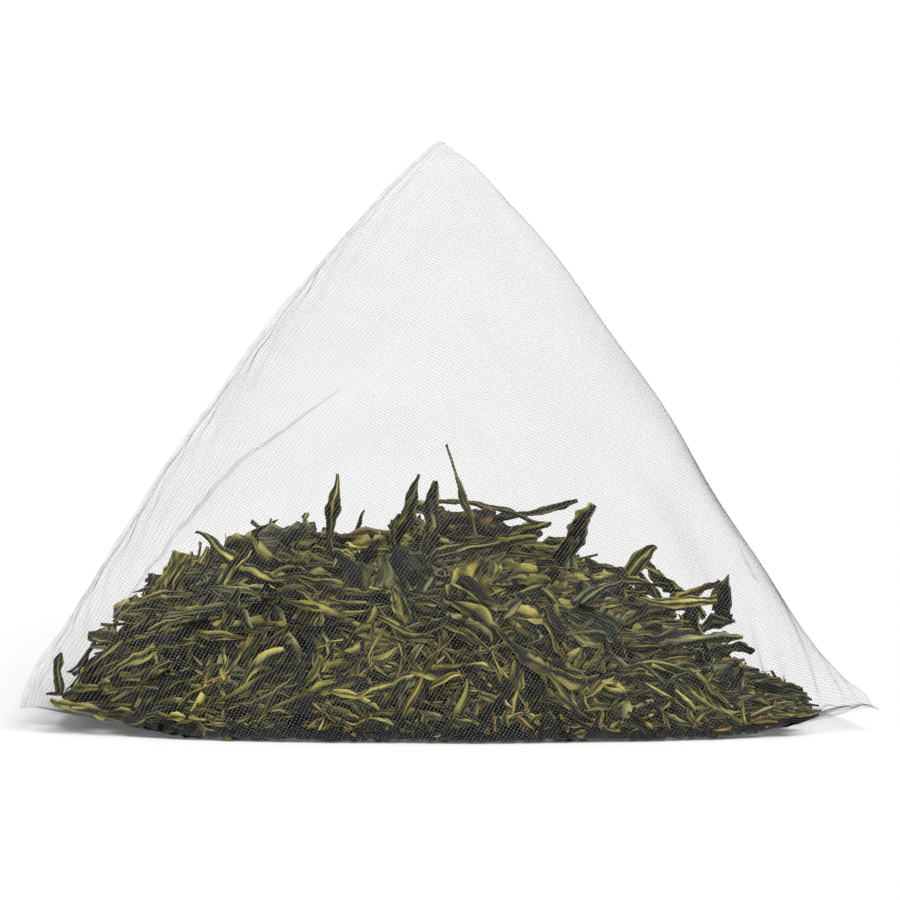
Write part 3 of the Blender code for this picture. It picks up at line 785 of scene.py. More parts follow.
@dataclass
class WovenMesh:
    """The threads of the sheet, each one a fine closed strand that runs over the folds."""

    sheet: FoldedSheet
    pitch: float = 0.00023
    thread_across: float = 0.000064
    segments_round: int = 72
    segments_over: int = 31
    sides: int = 3
    strand_radius: float = 0.25
    level: float = 0.42
    full_turn: float = 3.9999
    fold_density: float = 2.2
    fold_reach: float = 0.0014

    def strands(self, count: int, segments: int) -> bpy.types.Mesh:
        """Makes straight closed strands of unit length along X, one unit apart in Y.

        Args:
            count: How many strands.
            segments: How many lengths each one has.

        Returns:
            The mesh.
        """
        bundle = bmesh.new()
        add_bar(bundle, segments, self.sides, self.strand_radius)
        first = bundle.verts[:] + bundle.edges[:] + bundle.faces[:]
        for number in range(1, count):
            made = bmesh.ops.duplicate(bundle, geom=first)["geom"]
            moved = [item for item in made if isinstance(item, bmesh.types.BMVert)]
            bmesh.ops.translate(bundle, verts=moved, vec=(0.0, float(number), 0.0))
        return finished_mesh("strands", bundle)

    def spread(self, share: np.ndarray, folds: np.ndarray, length: float) -> np.ndarray:
        """Moves the joints of a strand towards the folds that it runs over.

        Args:
            share: The joints' even places from 0 to 1.
            folds: The folds' places from 0 to 1.
            length: The strand's length.

        Returns:
            The joints' new places from 0 to 1.
        """
        fine = np.linspace(0.0, 1.0, 400)
        away = (fine[:, None] - folds[None, :]) * length / self.fold_reach
        density = 1.0 + self.fold_density * np.exp(-away * away).sum(axis=1)
        reached = np.concatenate(((0.0,), np.cumsum((density[1:] + density[:-1]) / 2.0)))
        return np.interp(share, reached / reached[-1], fine)

    def placed(self, mesh: bpy.types.Mesh, count: int, runs_round: bool) -> None:
        """Lays strands on the sheet, either round the tube or from weld to weld.

        Args:
            mesh: The straight strands, which are changed.
            count: How many there are.
            runs_round: Whether they run round the tube.
        """
        flat = mesh_coordinates(mesh)
        number = np.round(flat[:, 1])
        aside = (flat[:, 1] - number) / self.strand_radius * self.thread_across / 2.0
        above = flat[:, 2] / self.strand_radius * self.thread_across / 2.0
        share = flat[:, 0]
        centre = (number + 0.5) / count
        girth, distance = self.sheet.tube_girth, self.sheet.weld_distance
        for strand in range(count):
            here = number == strand
            middle = (strand + 0.5) / count
            if runs_round:
                folds = np.array((2.0 - 2.0 * middle, 2.0, 4.0 - 2.0 * middle)) / 4.0
            else:
                folds = np.array((1.0 - abs((middle * 4.0) % 2.0 - 1.0),))
            share[here] = self.spread(share[here], folds, girth if runs_round else distance)
        # The two directions lie just over and just under the sheet, so they touch where they cross
        if runs_round:
            across = centre + aside / distance
            along = centre + share * self.full_turn
            above = above + self.thread_across * self.level
        else:
            across = share
            along = centre * 4.0 + aside / girth * 4.0
            above = above - self.thread_across * self.level
        points = self.sheet.at(along, across, above)
        mesh.vertices.foreach_set("co", points.ravel())
        steps = mesh.attributes.new("steps", "FLOAT", "POINT")
        crossings = (girth if runs_round else distance) / self.pitch
        steps.data.foreach_set("value", share * round(crossings))

    def build(self, finish: NylonFinish) -> bpy.types.Object:
        """Makes the woven sheet.

        Args:
            finish: The threads' finish.

        Returns:
            The sheet's object.
        """
        round_count = round(self.sheet.weld_distance / self.pitch)
        over_count = round(self.sheet.tube_girth / self.pitch)
        weave = bmesh.new()
        weave.verts.layers.float.new("steps")
        for count, segments, runs_round in (
            (round_count, self.segments_round, True),
            (over_count, self.segments_over, False),
        ):
            mesh = self.strands(count, segments)
            self.placed(mesh, count, runs_round)
            weave.from_mesh(mesh)
            bpy.data.meshes.remove(mesh)
        bmesh.ops.recalc_face_normals(weave, faces=weave.faces[:])
        mesh = finished_mesh("woven_sheet", weave)
        piece = add_piece("woven_sheet", mesh, finish.build())
        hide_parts("mesh_bag")
        return piece


@dataclass
class WeldSeam:
    """The flat band that the welding bar leaves across one end of the tube, ribbed and slightly wavy."""

    sheet: FoldedSheet
    name: str
    first_along: float
    across: float
    width: float = 0.00034
    thickness: float = 0.00014
    stations: int = 260
    sides: int = 8
    wave: float = 0.00010
    wave_turns: tuple[float, float] = (62.0, 151.0)
    inset: float = 0.04
    overhang: float = 0.30
    off_table: float = 0.00002

    def build(self, finish: WeldFinish) -> bpy.types.Object:
        """Makes the band.

        Args:
            finish: The band's finish.

        Returns:
            The band's object.
        """
        band = bmesh.new()
        add_bar(band, self.stations, self.sides, 0.5)
        mesh = finished_mesh(self.name, band)
        flat = mesh_coordinates(mesh)
        along = self.first_along + flat[:, 0] * 2.0
        across = np.full(len(flat), self.across)
        still = np.zeros(len(flat))
        path = self.sheet.at(along, across, still)
        # The two walls that meet in the weld, a little way inside it, show which way the band points
        inside = across + (self.inset if self.across < 0.5 else -self.inset)
        inner = self.sheet.at(along, inside, still)
        inner_far = self.sheet.at(2.0 * self.first_along - along + 4.0, inside, still)
        outward = path - (inner + inner_far) / 2.0
        outward /= np.linalg.norm(outward, axis=1, keepdims=True)
        flatwise = inner - inner_far
        flatwise -= outward * np.sum(flatwise * outward, axis=1, keepdims=True)
        flatwise /= np.maximum(np.linalg.norm(flatwise, axis=1, keepdims=True), TINY)
        slow, quick = self.wave_turns
        ripple = self.wave * (np.sin(flat[:, 0] * slow) + 0.6 * np.sin(flat[:, 0] * quick + 1.0))
        reach = (flat[:, 1] + self.overhang) * self.width
        points = path + outward * reach[:, None]
        points += flatwise * (flat[:, 2] * self.thickness + ripple)[:, None]
        points[:, 2] = np.maximum(points[:, 2], self.off_table)
        mesh.vertices.foreach_set("co", points.ravel())
        return add_piece(self.name, mesh, finish.build())


@dataclass
class CreaseShadeLines:
    """The lines of the sheet's sharp creases: bands of denser milky nylon where the bent threads lie closer
    together, which also paint the crease's shade.
    """

    sheet: FoldedSheet
    stations: int = 90
    sides: int = 8
    half_width: float = 0.00018
    half_thickness: float = 0.00004
    ahead: float = 0.001

    def line(self, crease: Crease) -> bmesh.types.BMesh:
        """Makes the line of one crease.

        Args:
            crease: The crease.

        Returns:
            The closed line, tapered to both ends.
        """
        line = bmesh.new()
        add_bar(line, self.stations, self.sides, 1.0)
        flat = np.array([vertex.co for vertex in line.verts])
        corners = crease.tube_path()
        reached = np.concatenate(((0.0,), np.cumsum(np.linalg.norm(np.diff(corners, axis=0), axis=1))))
        along, across = (np.interp(flat[:, 0] * reached[-1], reached, corners[:, way]) for way in (0, 1))
        slope = (corners[-1] - corners[0]) * self.ahead
        still = np.zeros(len(flat))
        path = self.sheet.at(along, across, still)
        upward = (self.sheet.at(along, across, np.full(len(flat), MM)) - path) / MM
        onward = self.sheet.at(along + slope[0], across + slope[1], still) - path
        sideways = np.cross(onward, upward)
        sideways /= np.linalg.norm(sideways, axis=1, keepdims=True)
        taper = np.sin(math.pi * np.clip(flat[:, :1], 0.0, 1.0)) ** 0.5 + 0.02
        points = path + sideways * flat[:, 1:2] * self.half_width * taper
        points += upward * flat[:, 2:] * self.half_thickness * taper
        for vertex, point in zip(line.verts, points):
            vertex.co = point
        bmesh.ops.recalc_face_normals(line, faces=line.faces[:])
        return line

    def build(self, finish: WeldFinish) -> bpy.types.Object:
        """Makes the lines of all sharp creases.

        Args:
            finish: The lines' finish.

        Returns:
            The lines' object.
        """
        lines = bmesh.new()
        for crease in self.sheet.creases:
            if crease.sharp:
                join_form(lines, self.line(crease))
        mesh = finished_mesh("crease_shade_lines", lines)
        return add_piece("crease_shade_lines", mesh, finish.build())


def node_axes(node: bpy.types.Object) -> tuple[np.ndarray, np.ndarray, np.ndarray]:
    """Finds how a CAD piece of tea lies.

    Args:
        node: The CAD node.

    Returns:
        Its corners, their middle, and its directions as columns from the shortest to the longest.
    """
    corners = np.unique(np.round(mesh_coordinates(node.data), 7), axis=0)
    middle = corners.mean(axis=0)
    _values, directions = np.linalg.eigh(np.cov((corners - middle).T))
    return corners, middle, directions


@dataclass
class LeafSpine:
    """The line that a piece of tea follows: its places, its flat side's direction and its sizes."""

    places: list[Vector]
    sides: list[Vector]
    half_width: float

    def length(self) -> float:
        """Gives the spine's length in metres."""
        return sum((after - before).length for before, after in zip(self.places, self.places[1:]))

    @classmethod
    def from_strip(cls, node: bpy.types.Object) -> "LeafSpine":
        """Reads the spine of a CAD strip or stem from its sections.

        Args:
            node: The CAD node, a bar of several sections of five corners.

        Returns:
            The spine, from one end to the other.
        """
        corners, middle, directions = node_axes(node)
        order = np.argsort((corners - middle) @ directions[:, 2])
        sections = corners[order].reshape(-1, SECTION_CORNERS, 3)
        places = [Vector(section.mean(axis=0)) for section in sections]
        sides = []
        widths = []
        for section in sections:
            spans = [(np.linalg.norm(a - b), a - b) for a in section for b in section]
            width, span = max(spans, key=lambda item: item[0])
            side = Vector(span).normalized()
            if sides and side.dot(sides[-1]) < 0.0:
                side = -side
            sides.append(side)
            widths.append(width)
        return cls(places, sides, max(widths) / 2.0)

    @classmethod
    def from_flake(cls, node: bpy.types.Object) -> "LeafSpine":
        """Reads a straight spine over a CAD flake's length.

        Args:
            node: The CAD node, a short flat piece.

        Returns:
            The spine, from one end to the other.
        """
        corners, middle, directions = node_axes(node)
        reach = (corners - middle) @ directions
        low, high = reach.min(axis=0), reach.max(axis=0)
        centre = middle + directions @ ((low + high) / 2.0)
        half_length = (high[2] - low[2]) / 2.0
        places = [Vector(centre + directions[:, 2] * half_length * share) for share in SPINE_SHARES]
        return cls(places, [Vector(directions[:, 1])] * len(places), (high[1] - low[1]) / 2.0)

    def cut(self, share: float, room: "TeaRoom") -> None:
        """Keeps only the end of the spine that lies deeper in the tea.

        Args:
            share: How much of it is kept.
            room: The room that the tea fills.
        """
        if share >= 1.0:
            return
        first, last = (room.top(place.x, place.y) - place.z for place in (self.places[0], self.places[-1]))
        if first < last:
            self.places.reverse()
            self.sides.reverse()
        kept = [self.at(share * step / (CUT_JOINTS - 1)) for step in range(CUT_JOINTS)]
        self.places = [point for point, _side, _up in kept]
        self.sides = [side for _point, side, _up in kept]

    def beside(self, share: float, turn: float, x: float, z: float) -> Vector:
        """Gives a place beside the spine.

        Args:
            share: How far along, from 0 to 1.
            turn: How far the leaf is twisted there.
            x: The distance over the leaf's width.
            z: The distance off its face.

        Returns:
            The place.
        """
        point, side, up = self.at(share)
        aside = x * math.cos(turn) - z * math.sin(turn)
        off = x * math.sin(turn) + z * math.cos(turn)
        return point + side * aside + up * off

    def at(self, share: float) -> tuple[Vector, Vector, Vector]:
        """Gives a place on the spine.

        Args:
            share: How far along, from 0 to 1.

        Returns:
            The place, the direction of the leaf's width there, and the direction of its upper face.
        """
        last = len(self.places) - 1
        place = min(max(share, 0.0), 1.0) * last
        low = min(int(place), last - 1)
        part = place - low
        before, after = max(low - 1, 0), min(low + 2, last)
        p0, p1, p2, p3 = (self.places[i] for i in (before, low, low + 1, after))
        square, cube = part * part, part * part * part
        point = 0.5 * (
            2.0 * p1
            + (p2 - p0) * part
            + (2.0 * p0 - 5.0 * p1 + 4.0 * p2 - p3) * square
            + (3.0 * p1 - p0 - 3.0 * p2 + p3) * cube
        )
        ahead = (p2 - p1).normalized()
        side = self.sides[low].lerp(self.sides[low + 1], part)
        side = (side - ahead * side.dot(ahead)).normalized()
        return point, side, ahead.cross(side)


@dataclass(frozen=True)
class LeafForm:
    """How a dried leaf is rolled, ridged and torn. Sizes are in metres and turns in radians.

    The seed is the leaf's own number. Where its unevenness is read, the number under a run is the spacing of
    the bumps in millimetres, and the last one keeps the bumps of different sorts apart.
    """

    stations: int
    columns: int
    curl: float
    twist: float
    ridges: int
    groove: float
    flatness: float
    wander: float
    ragged: float
    ends: tuple[float, float]
    crumple: float
    seed: float
    thickness: float = 0.00010
    taper: float = 0.34
    edge_tear: float = 0.35
    fine_share: float = 0.6
    fine_bend: float = 0.5
    ridge_drift: float = 0.9
    ridge_lift: float = 0.16
    curl_change: float = 0.4
    twist_change: float = 0.9
    spiral: float = 0.18
    most_spiral: float = 1.6
    wear: float = 0.45
    # The yellowed rims of open leaves, partly their own colour and partly a painted highlight, and the
    # painted highlights on the crests of rolled leaves: how much of them there is everywhere, and how much
    # comes and goes
    rim_yellow_and_highlight: tuple[float, float] = (0.35, 2.2)
    crest_highlight: tuple[float, float] = (0.1, 2.0)

    @classmethod
    def drawn(cls, kind: Tea, chance: random.Random, stations: int, columns: int, ridges: int) -> "LeafForm":
        """Draws the form of one leaf.

        Args:
            kind: What kind of tea it is.
            chance: The source of chance.
            stations: How many lengths the leaf has.
            columns: How many widths it has, or how many sides where it is rolled up.
            ridges: How many ridges run along it.

        Returns:
            The drawn form.
        """
        # The range of the curl, the most twist, how torn it is and how crumpled, in millimetres
        curl, twist, ragged, crumple = {
            Tea.STRIP: ((0.9, 2.5), 2.8, 0.62, 0.26),
            Tea.FLAKE: ((0.3, 1.2), 0.6, 0.55, 0.36),
            Tea.STEM: ((2.2, 2.7), 0.9, 0.85, 0.17),
            Tea.CRUMB: ((0.9, 2.5), 2.0, 0.70, 0.20),
        }[kind]
        return cls(
            stations=stations,
            columns=columns,
            curl=chance.uniform(*curl),
            twist=chance.uniform(-twist, twist),
            ridges=ridges,
            groove=chance.uniform(0.38, 0.66),
            flatness=chance.uniform(0.40, 0.80),
            wander=0.0 if columns <= 2 * ridges else 2.2,
            ragged=ragged,
            ends=(chance.uniform(0.20, 0.85), chance.uniform(0.20, 0.85)),
            crumple=crumple * MM,
            seed=chance.uniform(0.0, 60.0),
        )

    def uneven(self, run: float, over: float, sort: float = 0.0) -> float:
        """Gives a smooth random value, from about -1 to 1, at a place on the leaf."""
        return noise.noise(Vector((run, over, self.seed + sort)))

    def width(self, share: float, run_mm: float) -> float:
        """Gives the leaf's width at a place: tapered at both ends, and torn.

        Args:
            share: How far along the leaf, from 0 to 1.
            run_mm: How far along the leaf, in millimetres.

        Returns:
            The width as a share of the full one.
        """
        low, high = (
            end + (1.0 - end) * math.sin(math.pi / 2.0 * min(1.0, away / self.taper))
            for end, away in zip(self.ends, (share, 1.0 - share))
        )
        torn = self.uneven(run_mm / 1.5, 0.3) + self.fine_share * self.uneven(run_mm / 0.5, 0.7, 9.0)
        return low * high * (1.0 + self.ragged * torn)

    def turn(self, share: float, run_mm: float) -> float:
        """Gives how far the leaf is twisted at a place."""
        return self.twist * (share - 0.5) + self.twist_change * self.uneven(run_mm / 3.0, 5.0)


def set_leaf_vertex(
    leaf: bmesh.types.BMesh, vertex: bmesh.types.BMVert, place: Vector, lay: Vector, ridge_shading: float, rim_and_highlight: float
) -> None:
    """Moves a vertex of a leaf into place and gives it what the finish reads.

    Args:
        leaf: The leaf.
        vertex: The vertex.
        place: Its place, which is kept off the table.
        lay: Where it lies on the leaf, in millimetres along and over it, and the leaf's own number.
        ridge_shading: How high it lies on the leaf's ridges and folds, from 0 to 1, which the finish paints
            as light on the crests and shade in the grooves.
        rim_and_highlight: How much yellowed edge and painted crest highlight it carries, from 0 to 1.
    """
    vertex.co = place
    vertex.co.z = max(vertex.co.z, LEAF_OFF_TABLE)
    vertex[leaf.verts.layers.float_vector["lay"]] = lay
    vertex[leaf.verts.layers.float["ridge_shading"]] = min(max(ridge_shading, 0.0), 1.0)
    vertex[leaf.verts.layers.float["rim_and_highlight"]] = min(max(rim_and_highlight, 0.0), 1.0)


def new_leaf() -> bmesh.types.BMesh:
    """Makes an empty leaf.

    Returns:
        The leaf, with the layers that its finish reads.
    """
    leaf = bmesh.new()
    leaf.verts.layers.float_vector.new("lay")
    leaf.verts.layers.float.new("ridge_shading")
    leaf.verts.layers.float.new("rim_and_highlight")
    return leaf


def blade(spine: LeafSpine, form: LeafForm) -> bmesh.types.BMesh:
    """Makes one open blade along a spine: a crumpled strip, curled over its width.

    Args:
        spine: The line that it follows.
        form: How it is curled, ridged and torn.

    Returns:
        The closed blade.
    """
    leaf = new_leaf()
    add_bar(leaf, form.stations, 2 * form.columns, 1.0)
    length = spine.length()
    radius = 1.0 / form.curl
    widest = radius * math.sin(min(form.curl, math.pi / 2.0))
    always, sometimes = form.rim_yellow_and_highlight
    for vertex in leaf.verts:
        share, angle = vertex.co.x, math.atan2(vertex.co.z, vertex.co.y)
        # The bar's upper half becomes the blade's one face and its lower half the other
        across = 1.0 - 2.0 * abs(angle) / math.pi
        face = math.copysign(1.0 - across**4, angle) * form.thickness / 2.0
        run = share * length / MM
        torn = 1.0 + form.edge_tear * abs(across) * form.uneven(run / 0.7, across * 9.0, 30.0)
        width = spine.half_width * form.width(share, run) * torn
        drift = form.uneven(run / 3.0, 3.0)
        wave = math.sin(TURN * (form.ridges * across / 2.0 + form.seed + form.ridge_drift * drift))
        fold = form.uneven(run / 1.2, across * 1.8, 20.0)
        fine = form.uneven(run / 0.45, across * 4.0, 40.0)
        angle = form.curl * across * (1.0 + form.curl_change * form.uneven(run / 2.5, 1.0))
        spiral = (1.0 - form.spiral * across * min(form.curl, form.most_spiral)) * width / widest
        lift = width * form.ridge_lift * wave + form.crumple * (fold + form.fine_share * fine) + face
        x = math.sin(angle) * (radius * spiral + lift)
        z = math.cos(angle) * (radius * spiral + lift) - math.cos(form.curl / 2.0) * radius * spiral
        place = spine.beside(share, form.turn(share, run), x, z)
        lay = Vector((run, across * spine.half_width / MM, form.seed))
        # The yellow on the outermost edge is partly its own colour and partly a painted highlight
        patch = form.uneven(run / 2.2, across, 50.0)
        rim_and_highlight = abs(across) ** 9 * (always + sometimes * patch)
        # The ridge shading follows the ridges and folds: painted light on their crests, painted shade in
        # their hollows
        set_leaf_vertex(leaf, vertex, place, lay, 0.5 + 0.25 * wave + 0.7 * fold, rim_and_highlight)
    bmesh.ops.recalc_face_normals(leaf, faces=leaf.faces[:])
    return leaf


def rolled(spine: LeafSpine, form: LeafForm) -> bmesh.types.BMesh:
    """Makes one tightly rolled leaf along a spine: a twisted rod with sharp ridges and deep grooves.

    Args:
        spine: The line that it follows.
        form: How it is ridged, twisted and torn.

    Returns:
        The closed leaf.
    """
    leaf = new_leaf()
    add_bar(leaf, form.stations, form.columns, 1.0)
    length = spine.length()
    always, sometimes = form.crest_highlight
    for vertex in leaf.verts:
        share, angle = vertex.co.x, math.atan2(vertex.co.z, vertex.co.y)
        run = share * length / MM
        drift = form.wander * form.uneven(run / 2.6, 3.0)
        level = 0.5 + 0.5 * math.cos(form.ridges * angle + drift)
        wear = form.uneven(run / 0.9, math.cos(angle) * 2.0, math.sin(angle) * 2.0)
        width = spine.half_width * form.width(share, run)
        reach = (form.groove + (1.0 - form.groove) * level) * width * (1.0 + form.wear * wear)
        bend = form.crumple * form.uneven(run / 1.8, 7.0)
        bend += form.fine_bend * form.crumple * form.uneven(run / 0.7, 9.0)
        x = math.cos(angle) * reach + bend
        z = math.sin(angle) * reach * form.flatness - bend
        place = spine.beside(share, form.turn(share, run), x, z)
        lay = Vector((run, angle * spine.half_width / MM, form.seed))
        # The yellow on the ridge crests is a painted highlight, and the ridge shading follows the crests and
        # bumps as painted light and shade
        patch = form.uneven(run / 1.8, math.cos(angle) * 1.5, 50.0)
        rim_and_highlight = level**4 * (always + sometimes * patch)
        set_leaf_vertex(leaf, vertex, place, lay, level + 0.5 * wear, rim_and_highlight)
    bmesh.ops.recalc_face_normals(leaf, faces=leaf.faces[:])
    return leaf


class TeaFinishes:
    """The finishes that the pieces of tea share, each made once."""

    def __init__(self) -> None:
        """Makes the materials."""
        # Each tint gives its crease colour as painted shade, its body, its crest colour as painted light, and
        # its edge, yellowed and partly a painted highlight
        self.by_tint = {
            tint: LeafFinish(f"pan_fired_leaf_{tint.value}", *colours).build()
            for tint, colours in {
                Tint.OLIVE: ("#060502", "#1B1A09", "#988F38", "#F0E378"),
                Tint.GREY: ("#0A0B07", "#262819", "#85875C", "#BFBA76"),
                Tint.DARK: ("#030301", "#0C0C05", "#4A4820", "#B0A94C"),
                Tint.BROWN: ("#0F0A03", "#32260E", "#80692C", "#C6A84F"),
                Tint.YELLOW: ("#1F1C0B", "#6B642C", "#C4B85A", "#E6DB86"),
                Tint.STALK: ("#1B1809", "#554D25", "#A0964F", "#C9BB72"),
            }.items()
        }
        self.shares = {
            Tea.STRIP: {
                Tint.OLIVE: 0.38,
                Tint.GREY: 0.14,
                Tint.DARK: 0.36,
                Tint.BROWN: 0.06,
                Tint.YELLOW: 0.06,
            },
            Tea.FLAKE: {Tint.YELLOW: 0.20, Tint.OLIVE: 0.36, Tint.GREY: 0.20, Tint.DARK: 0.24},
            Tea.STEM: {Tint.STALK: 1.0},
            Tea.CRUMB: {Tint.DARK: 0.56, Tint.OLIVE: 0.24, Tint.BROWN: 0.14, Tint.YELLOW: 0.06},
        }

    def pick(self, kind: Tea, chance: random.Random) -> bpy.types.Material:
        """Draws a finish for a piece.

        Args:
            kind: What kind of tea it is.
            chance: The source of chance.

        Returns:
            The finish.
        """
        shares = self.shares[kind]
        return self.by_tint[chance.choices(list(shares), list(shares.values()))[0]]


@dataclass
class SingleLeaves:
    """The pieces of tea that the CAD part holds one by one, each dressed as a dried leaf in its place."""

    finishes: TeaFinishes
    room: "TeaRoom"
    stations: int = 34
    narrowing: float = 0.50
    stem_narrowing: float = 0.36
    standing_rise: float = 0.6
    standing_ends: tuple[float, float] = (0.7, 0.30)
    # These have lost their outer end, and the share is what is left of each
    broken: tuple[tuple[str, float], ...] = (
        ("strip_curved", 0.70),
        ("strip_32", 0.75),
        ("strip_21", 0.62),
        ("strip_11", 0.68),
        ("strip_05", 0.70),
        ("strip_29", 0.55),
        ("strip_30", 0.60),
        ("strip_36", 0.50),
        ("strip_24", 0.45),
        ("flake_07", 0.50),
    )
    open_share: float = 0.40

    def form(self, kind: Tea, chance: random.Random) -> tuple[Callable, LeafForm]:
        """Draws how a leaf is made.

        Args:
            kind: What kind of tea it is.
            chance: The source of chance.

        Returns:
            The function that makes it, and its form.
        """
        if kind is Tea.FLAKE or (kind is Tea.STRIP and chance.random() < self.open_share):
            return blade, LeafForm.drawn(kind, chance, self.stations, 11, 2)
        return rolled, LeafForm.drawn(kind, chance, self.stations, 16, chance.choice((3, 4)))

    def build(self) -> None:
        """Makes a leaf for each single CAD piece of tea."""
        kinds = {kind.value: kind for kind in Tea}
        for name, node in sorted(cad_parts.items()):
            kind = kinds.get(name.split("_")[0])
            if kind is None:
                continue
            chance = random.Random(f"{name} {SEED}")
            spine = LeafSpine.from_flake(node) if kind is Tea.FLAKE else LeafSpine.from_strip(node)
            if kind is not Tea.FLAKE:
                spine.half_width *= self.stem_narrowing if kind is Tea.STEM else self.narrowing
            spine.cut(dict(self.broken).get(name, 1.0), self.room)
            make, form = self.form(kind, chance)
            # A leaf that stands up tapers to its upper end
            rise = (spine.places[-1].z - spine.places[0].z) / spine.length()
            if abs(rise) > self.standing_rise and kind is Tea.STRIP:
                form = replace(form, ends=self.standing_ends if rise > 0.0 else self.standing_ends[::-1])
            mesh = finished_mesh(f"{name}_leaf", make(spine, form))
            piece = add_piece(f"{name}_leaf", mesh, self.finishes.pick(kind, chance))
            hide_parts(name)


@dataclass
class TeaRoom:
    """The room that the tea fills in the bag: below a sloping top and inside the sheet."""

    sheet: FoldedSheet
    # The tea's top over the bag's width: it leans into the left tip and falls away to the right
    top_profile: tuple[tuple[float, float], ...] = (
        (-0.0290, 0.0012),
        (-0.0279, 0.0021),
        (-0.0238, 0.0064),
        (-0.0204, 0.0090),
        (-0.0126, 0.0104),
        (0.0000, 0.0103),
        (0.0102, 0.0085),
        (0.0136, 0.0058),
        (0.0184, 0.0034),
        (0.0211, 0.0020),
        (0.0242, 0.0012),
        (0.0260, 0.0004),
    )
    back_shoulder: float = 0.0030
    back_slope: float = 0.40
    centre_lift: float = 0.0009
    coarse_steps: tuple[int, int] = (232, 100)
    half_turn: float = 1.99999
    missed_reach: float = 0.02
    least_slope: float = 0.2
    halvings: int = 12
    steepest_underside: float = -0.5
    top_width: tuple[float, float] = (-0.028, 0.025)
    top_depth: tuple[float, float] = (-0.026, 0.025)
    top_from_wall: float = 0.0006
    top_way: tuple[float, float, float] = (0.0, 0.1, 1.0)
    tree: BVHTree = field(init=False)
    centre: Vector = field(init=False)
    facing: float = field(init=False)

    def __post_init__(self) -> None:
        """Makes a search tree of the sheet, coarse enough to be quick."""
        coarse = bmesh.new()
        steps_round, steps_over = self.coarse_steps
        bmesh.ops.create_grid(coarse, x_segments=steps_round, y_segments=steps_over, size=1.0)
        flat = np.array([vertex.co for vertex in coarse.verts])
        along, across = (flat[:, 0] + 1.0) * self.half_turn, (flat[:, 1] + 1.0) / 2.0
        for vertex, place in zip(coarse.verts, self.sheet.at(along, across, np.zeros(len(flat)))):
            vertex.co = place
        coarse.normal_update()
        self.tree = BVHTree.FromBMesh(coarse)
        coarse.free()
        low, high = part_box("leaf_heap")
        self.centre = Vector(((low.x + high.x) / 2.0, (low.y + high.y) / 2.0, low.z + self.centre_lift))
        self.facing = math.copysign(1.0, self.tree.ray_cast(self.centre, UP)[1].z)

    def top(self, x: np.ndarray | float, y: np.ndarray | float) -> np.ndarray | float:
        """Gives the height of the tea's top.

        Args:
            x: Places over the bag's width.
            y: Places over the bag's depth.

        Returns:
            The height at each place.
        """
        places, heights = zip(*self.top_profile)
        return np.interp(x, places, heights) - self.back_slope * np.maximum(0.0, y - self.back_shoulder)

    def depth(self, point: Vector) -> float:
        """Gives how deep a point lies inside the sheet.

        Args:
            point: The point.

        Returns:
            The distance to the sheet, or a negative number for a point outside it.
        """
        hit, normal, _index, _distance = self.tree.ray_cast(point, UP)
        if hit is None or normal.z * self.facing < 0.0:
            return -1.0
        return self.tree.find_nearest(point)[3]

    def between(self, x: float, z: float, share: float) -> Vector:
        """Finds a place between the bag's front and its back.

        Args:
            x: The place over the bag's width.
            z: The height.
            share: How far back, from 0 at the front to 1 at the back.

        Returns:
            The place.
        """
        ends = []
        for start in (-1.0, 1.0):
            hit = self.tree.ray_cast(Vector((x, start, z)), Vector((0.0, -start, 0.0)))[0]
            ends.append(hit or self.tree.find_nearest(Vector((x, self.centre.y, z)))[0])
        return ends[0].lerp(ends[1], share)

    def reach(self, aim: Vector, from_wall: float, below_top: float) -> Vector:
        """Follows a direction from the middle of the tea until it nears the sheet or the tea's top.

        Args:
            aim: The direction.
            from_wall: The gap to leave to the sheet.
            below_top: The depth to leave under the top.

        Returns:
            The farthest point.
        """
        hit, normal, _index, _distance = self.tree.ray_cast(self.centre, aim)
        if hit is None:
            hit, normal, _index, _distance = self.tree.find_nearest(self.centre + aim * self.missed_reach)
        slope = max(abs(aim.dot(normal)), self.least_slope)
        low, high = 0.0, max((hit - self.centre).length - from_wall / slope, 0.0)
        for _halving in range(self.halvings):
            middle = (low + high) / 2.0
            point = self.centre + aim * middle
            if point.z < self.top(point.x, point.y) - below_top:
                low = middle
            else:
                high = middle
        return self.centre + aim * low

    def skin(self, chance: np.random.Generator, count: int) -> list[tuple[Vector, Vector]]:
        """Draws places all over the outside of the tea: against the sheet's walls and on the tea's top.

        Args:
            chance: The source of chance.
            count: How many places to draw, of which those away from the tea are left out.

        Returns:
            The places, each with the outward direction there.
        """
        along, across = chance.uniform(0.0, 4.0, count), chance.uniform(0.0, 1.0, count)
        places = self.sheet.at(along, across, np.zeros(count))
        outward = (self.sheet.at(along, across, np.full(count, MM)) - places) / MM
        below = places[:, 2] < self.top(places[:, 0], places[:, 1])
        below &= outward[:, 2] > self.steepest_underside
        found = [(Vector(place), Vector(way)) for place, way in zip(places[below], outward[below])]
        for _try in range(count // 3):
            x, y = chance.uniform(*self.top_width), chance.uniform(*self.top_depth)
            place = Vector((x, y, float(self.top(x, y))))
            if self.depth(place) > self.top_from_wall:
                found.append((place, Vector(self.top_way).normalized()))
        chance.shuffle(found)
        return found


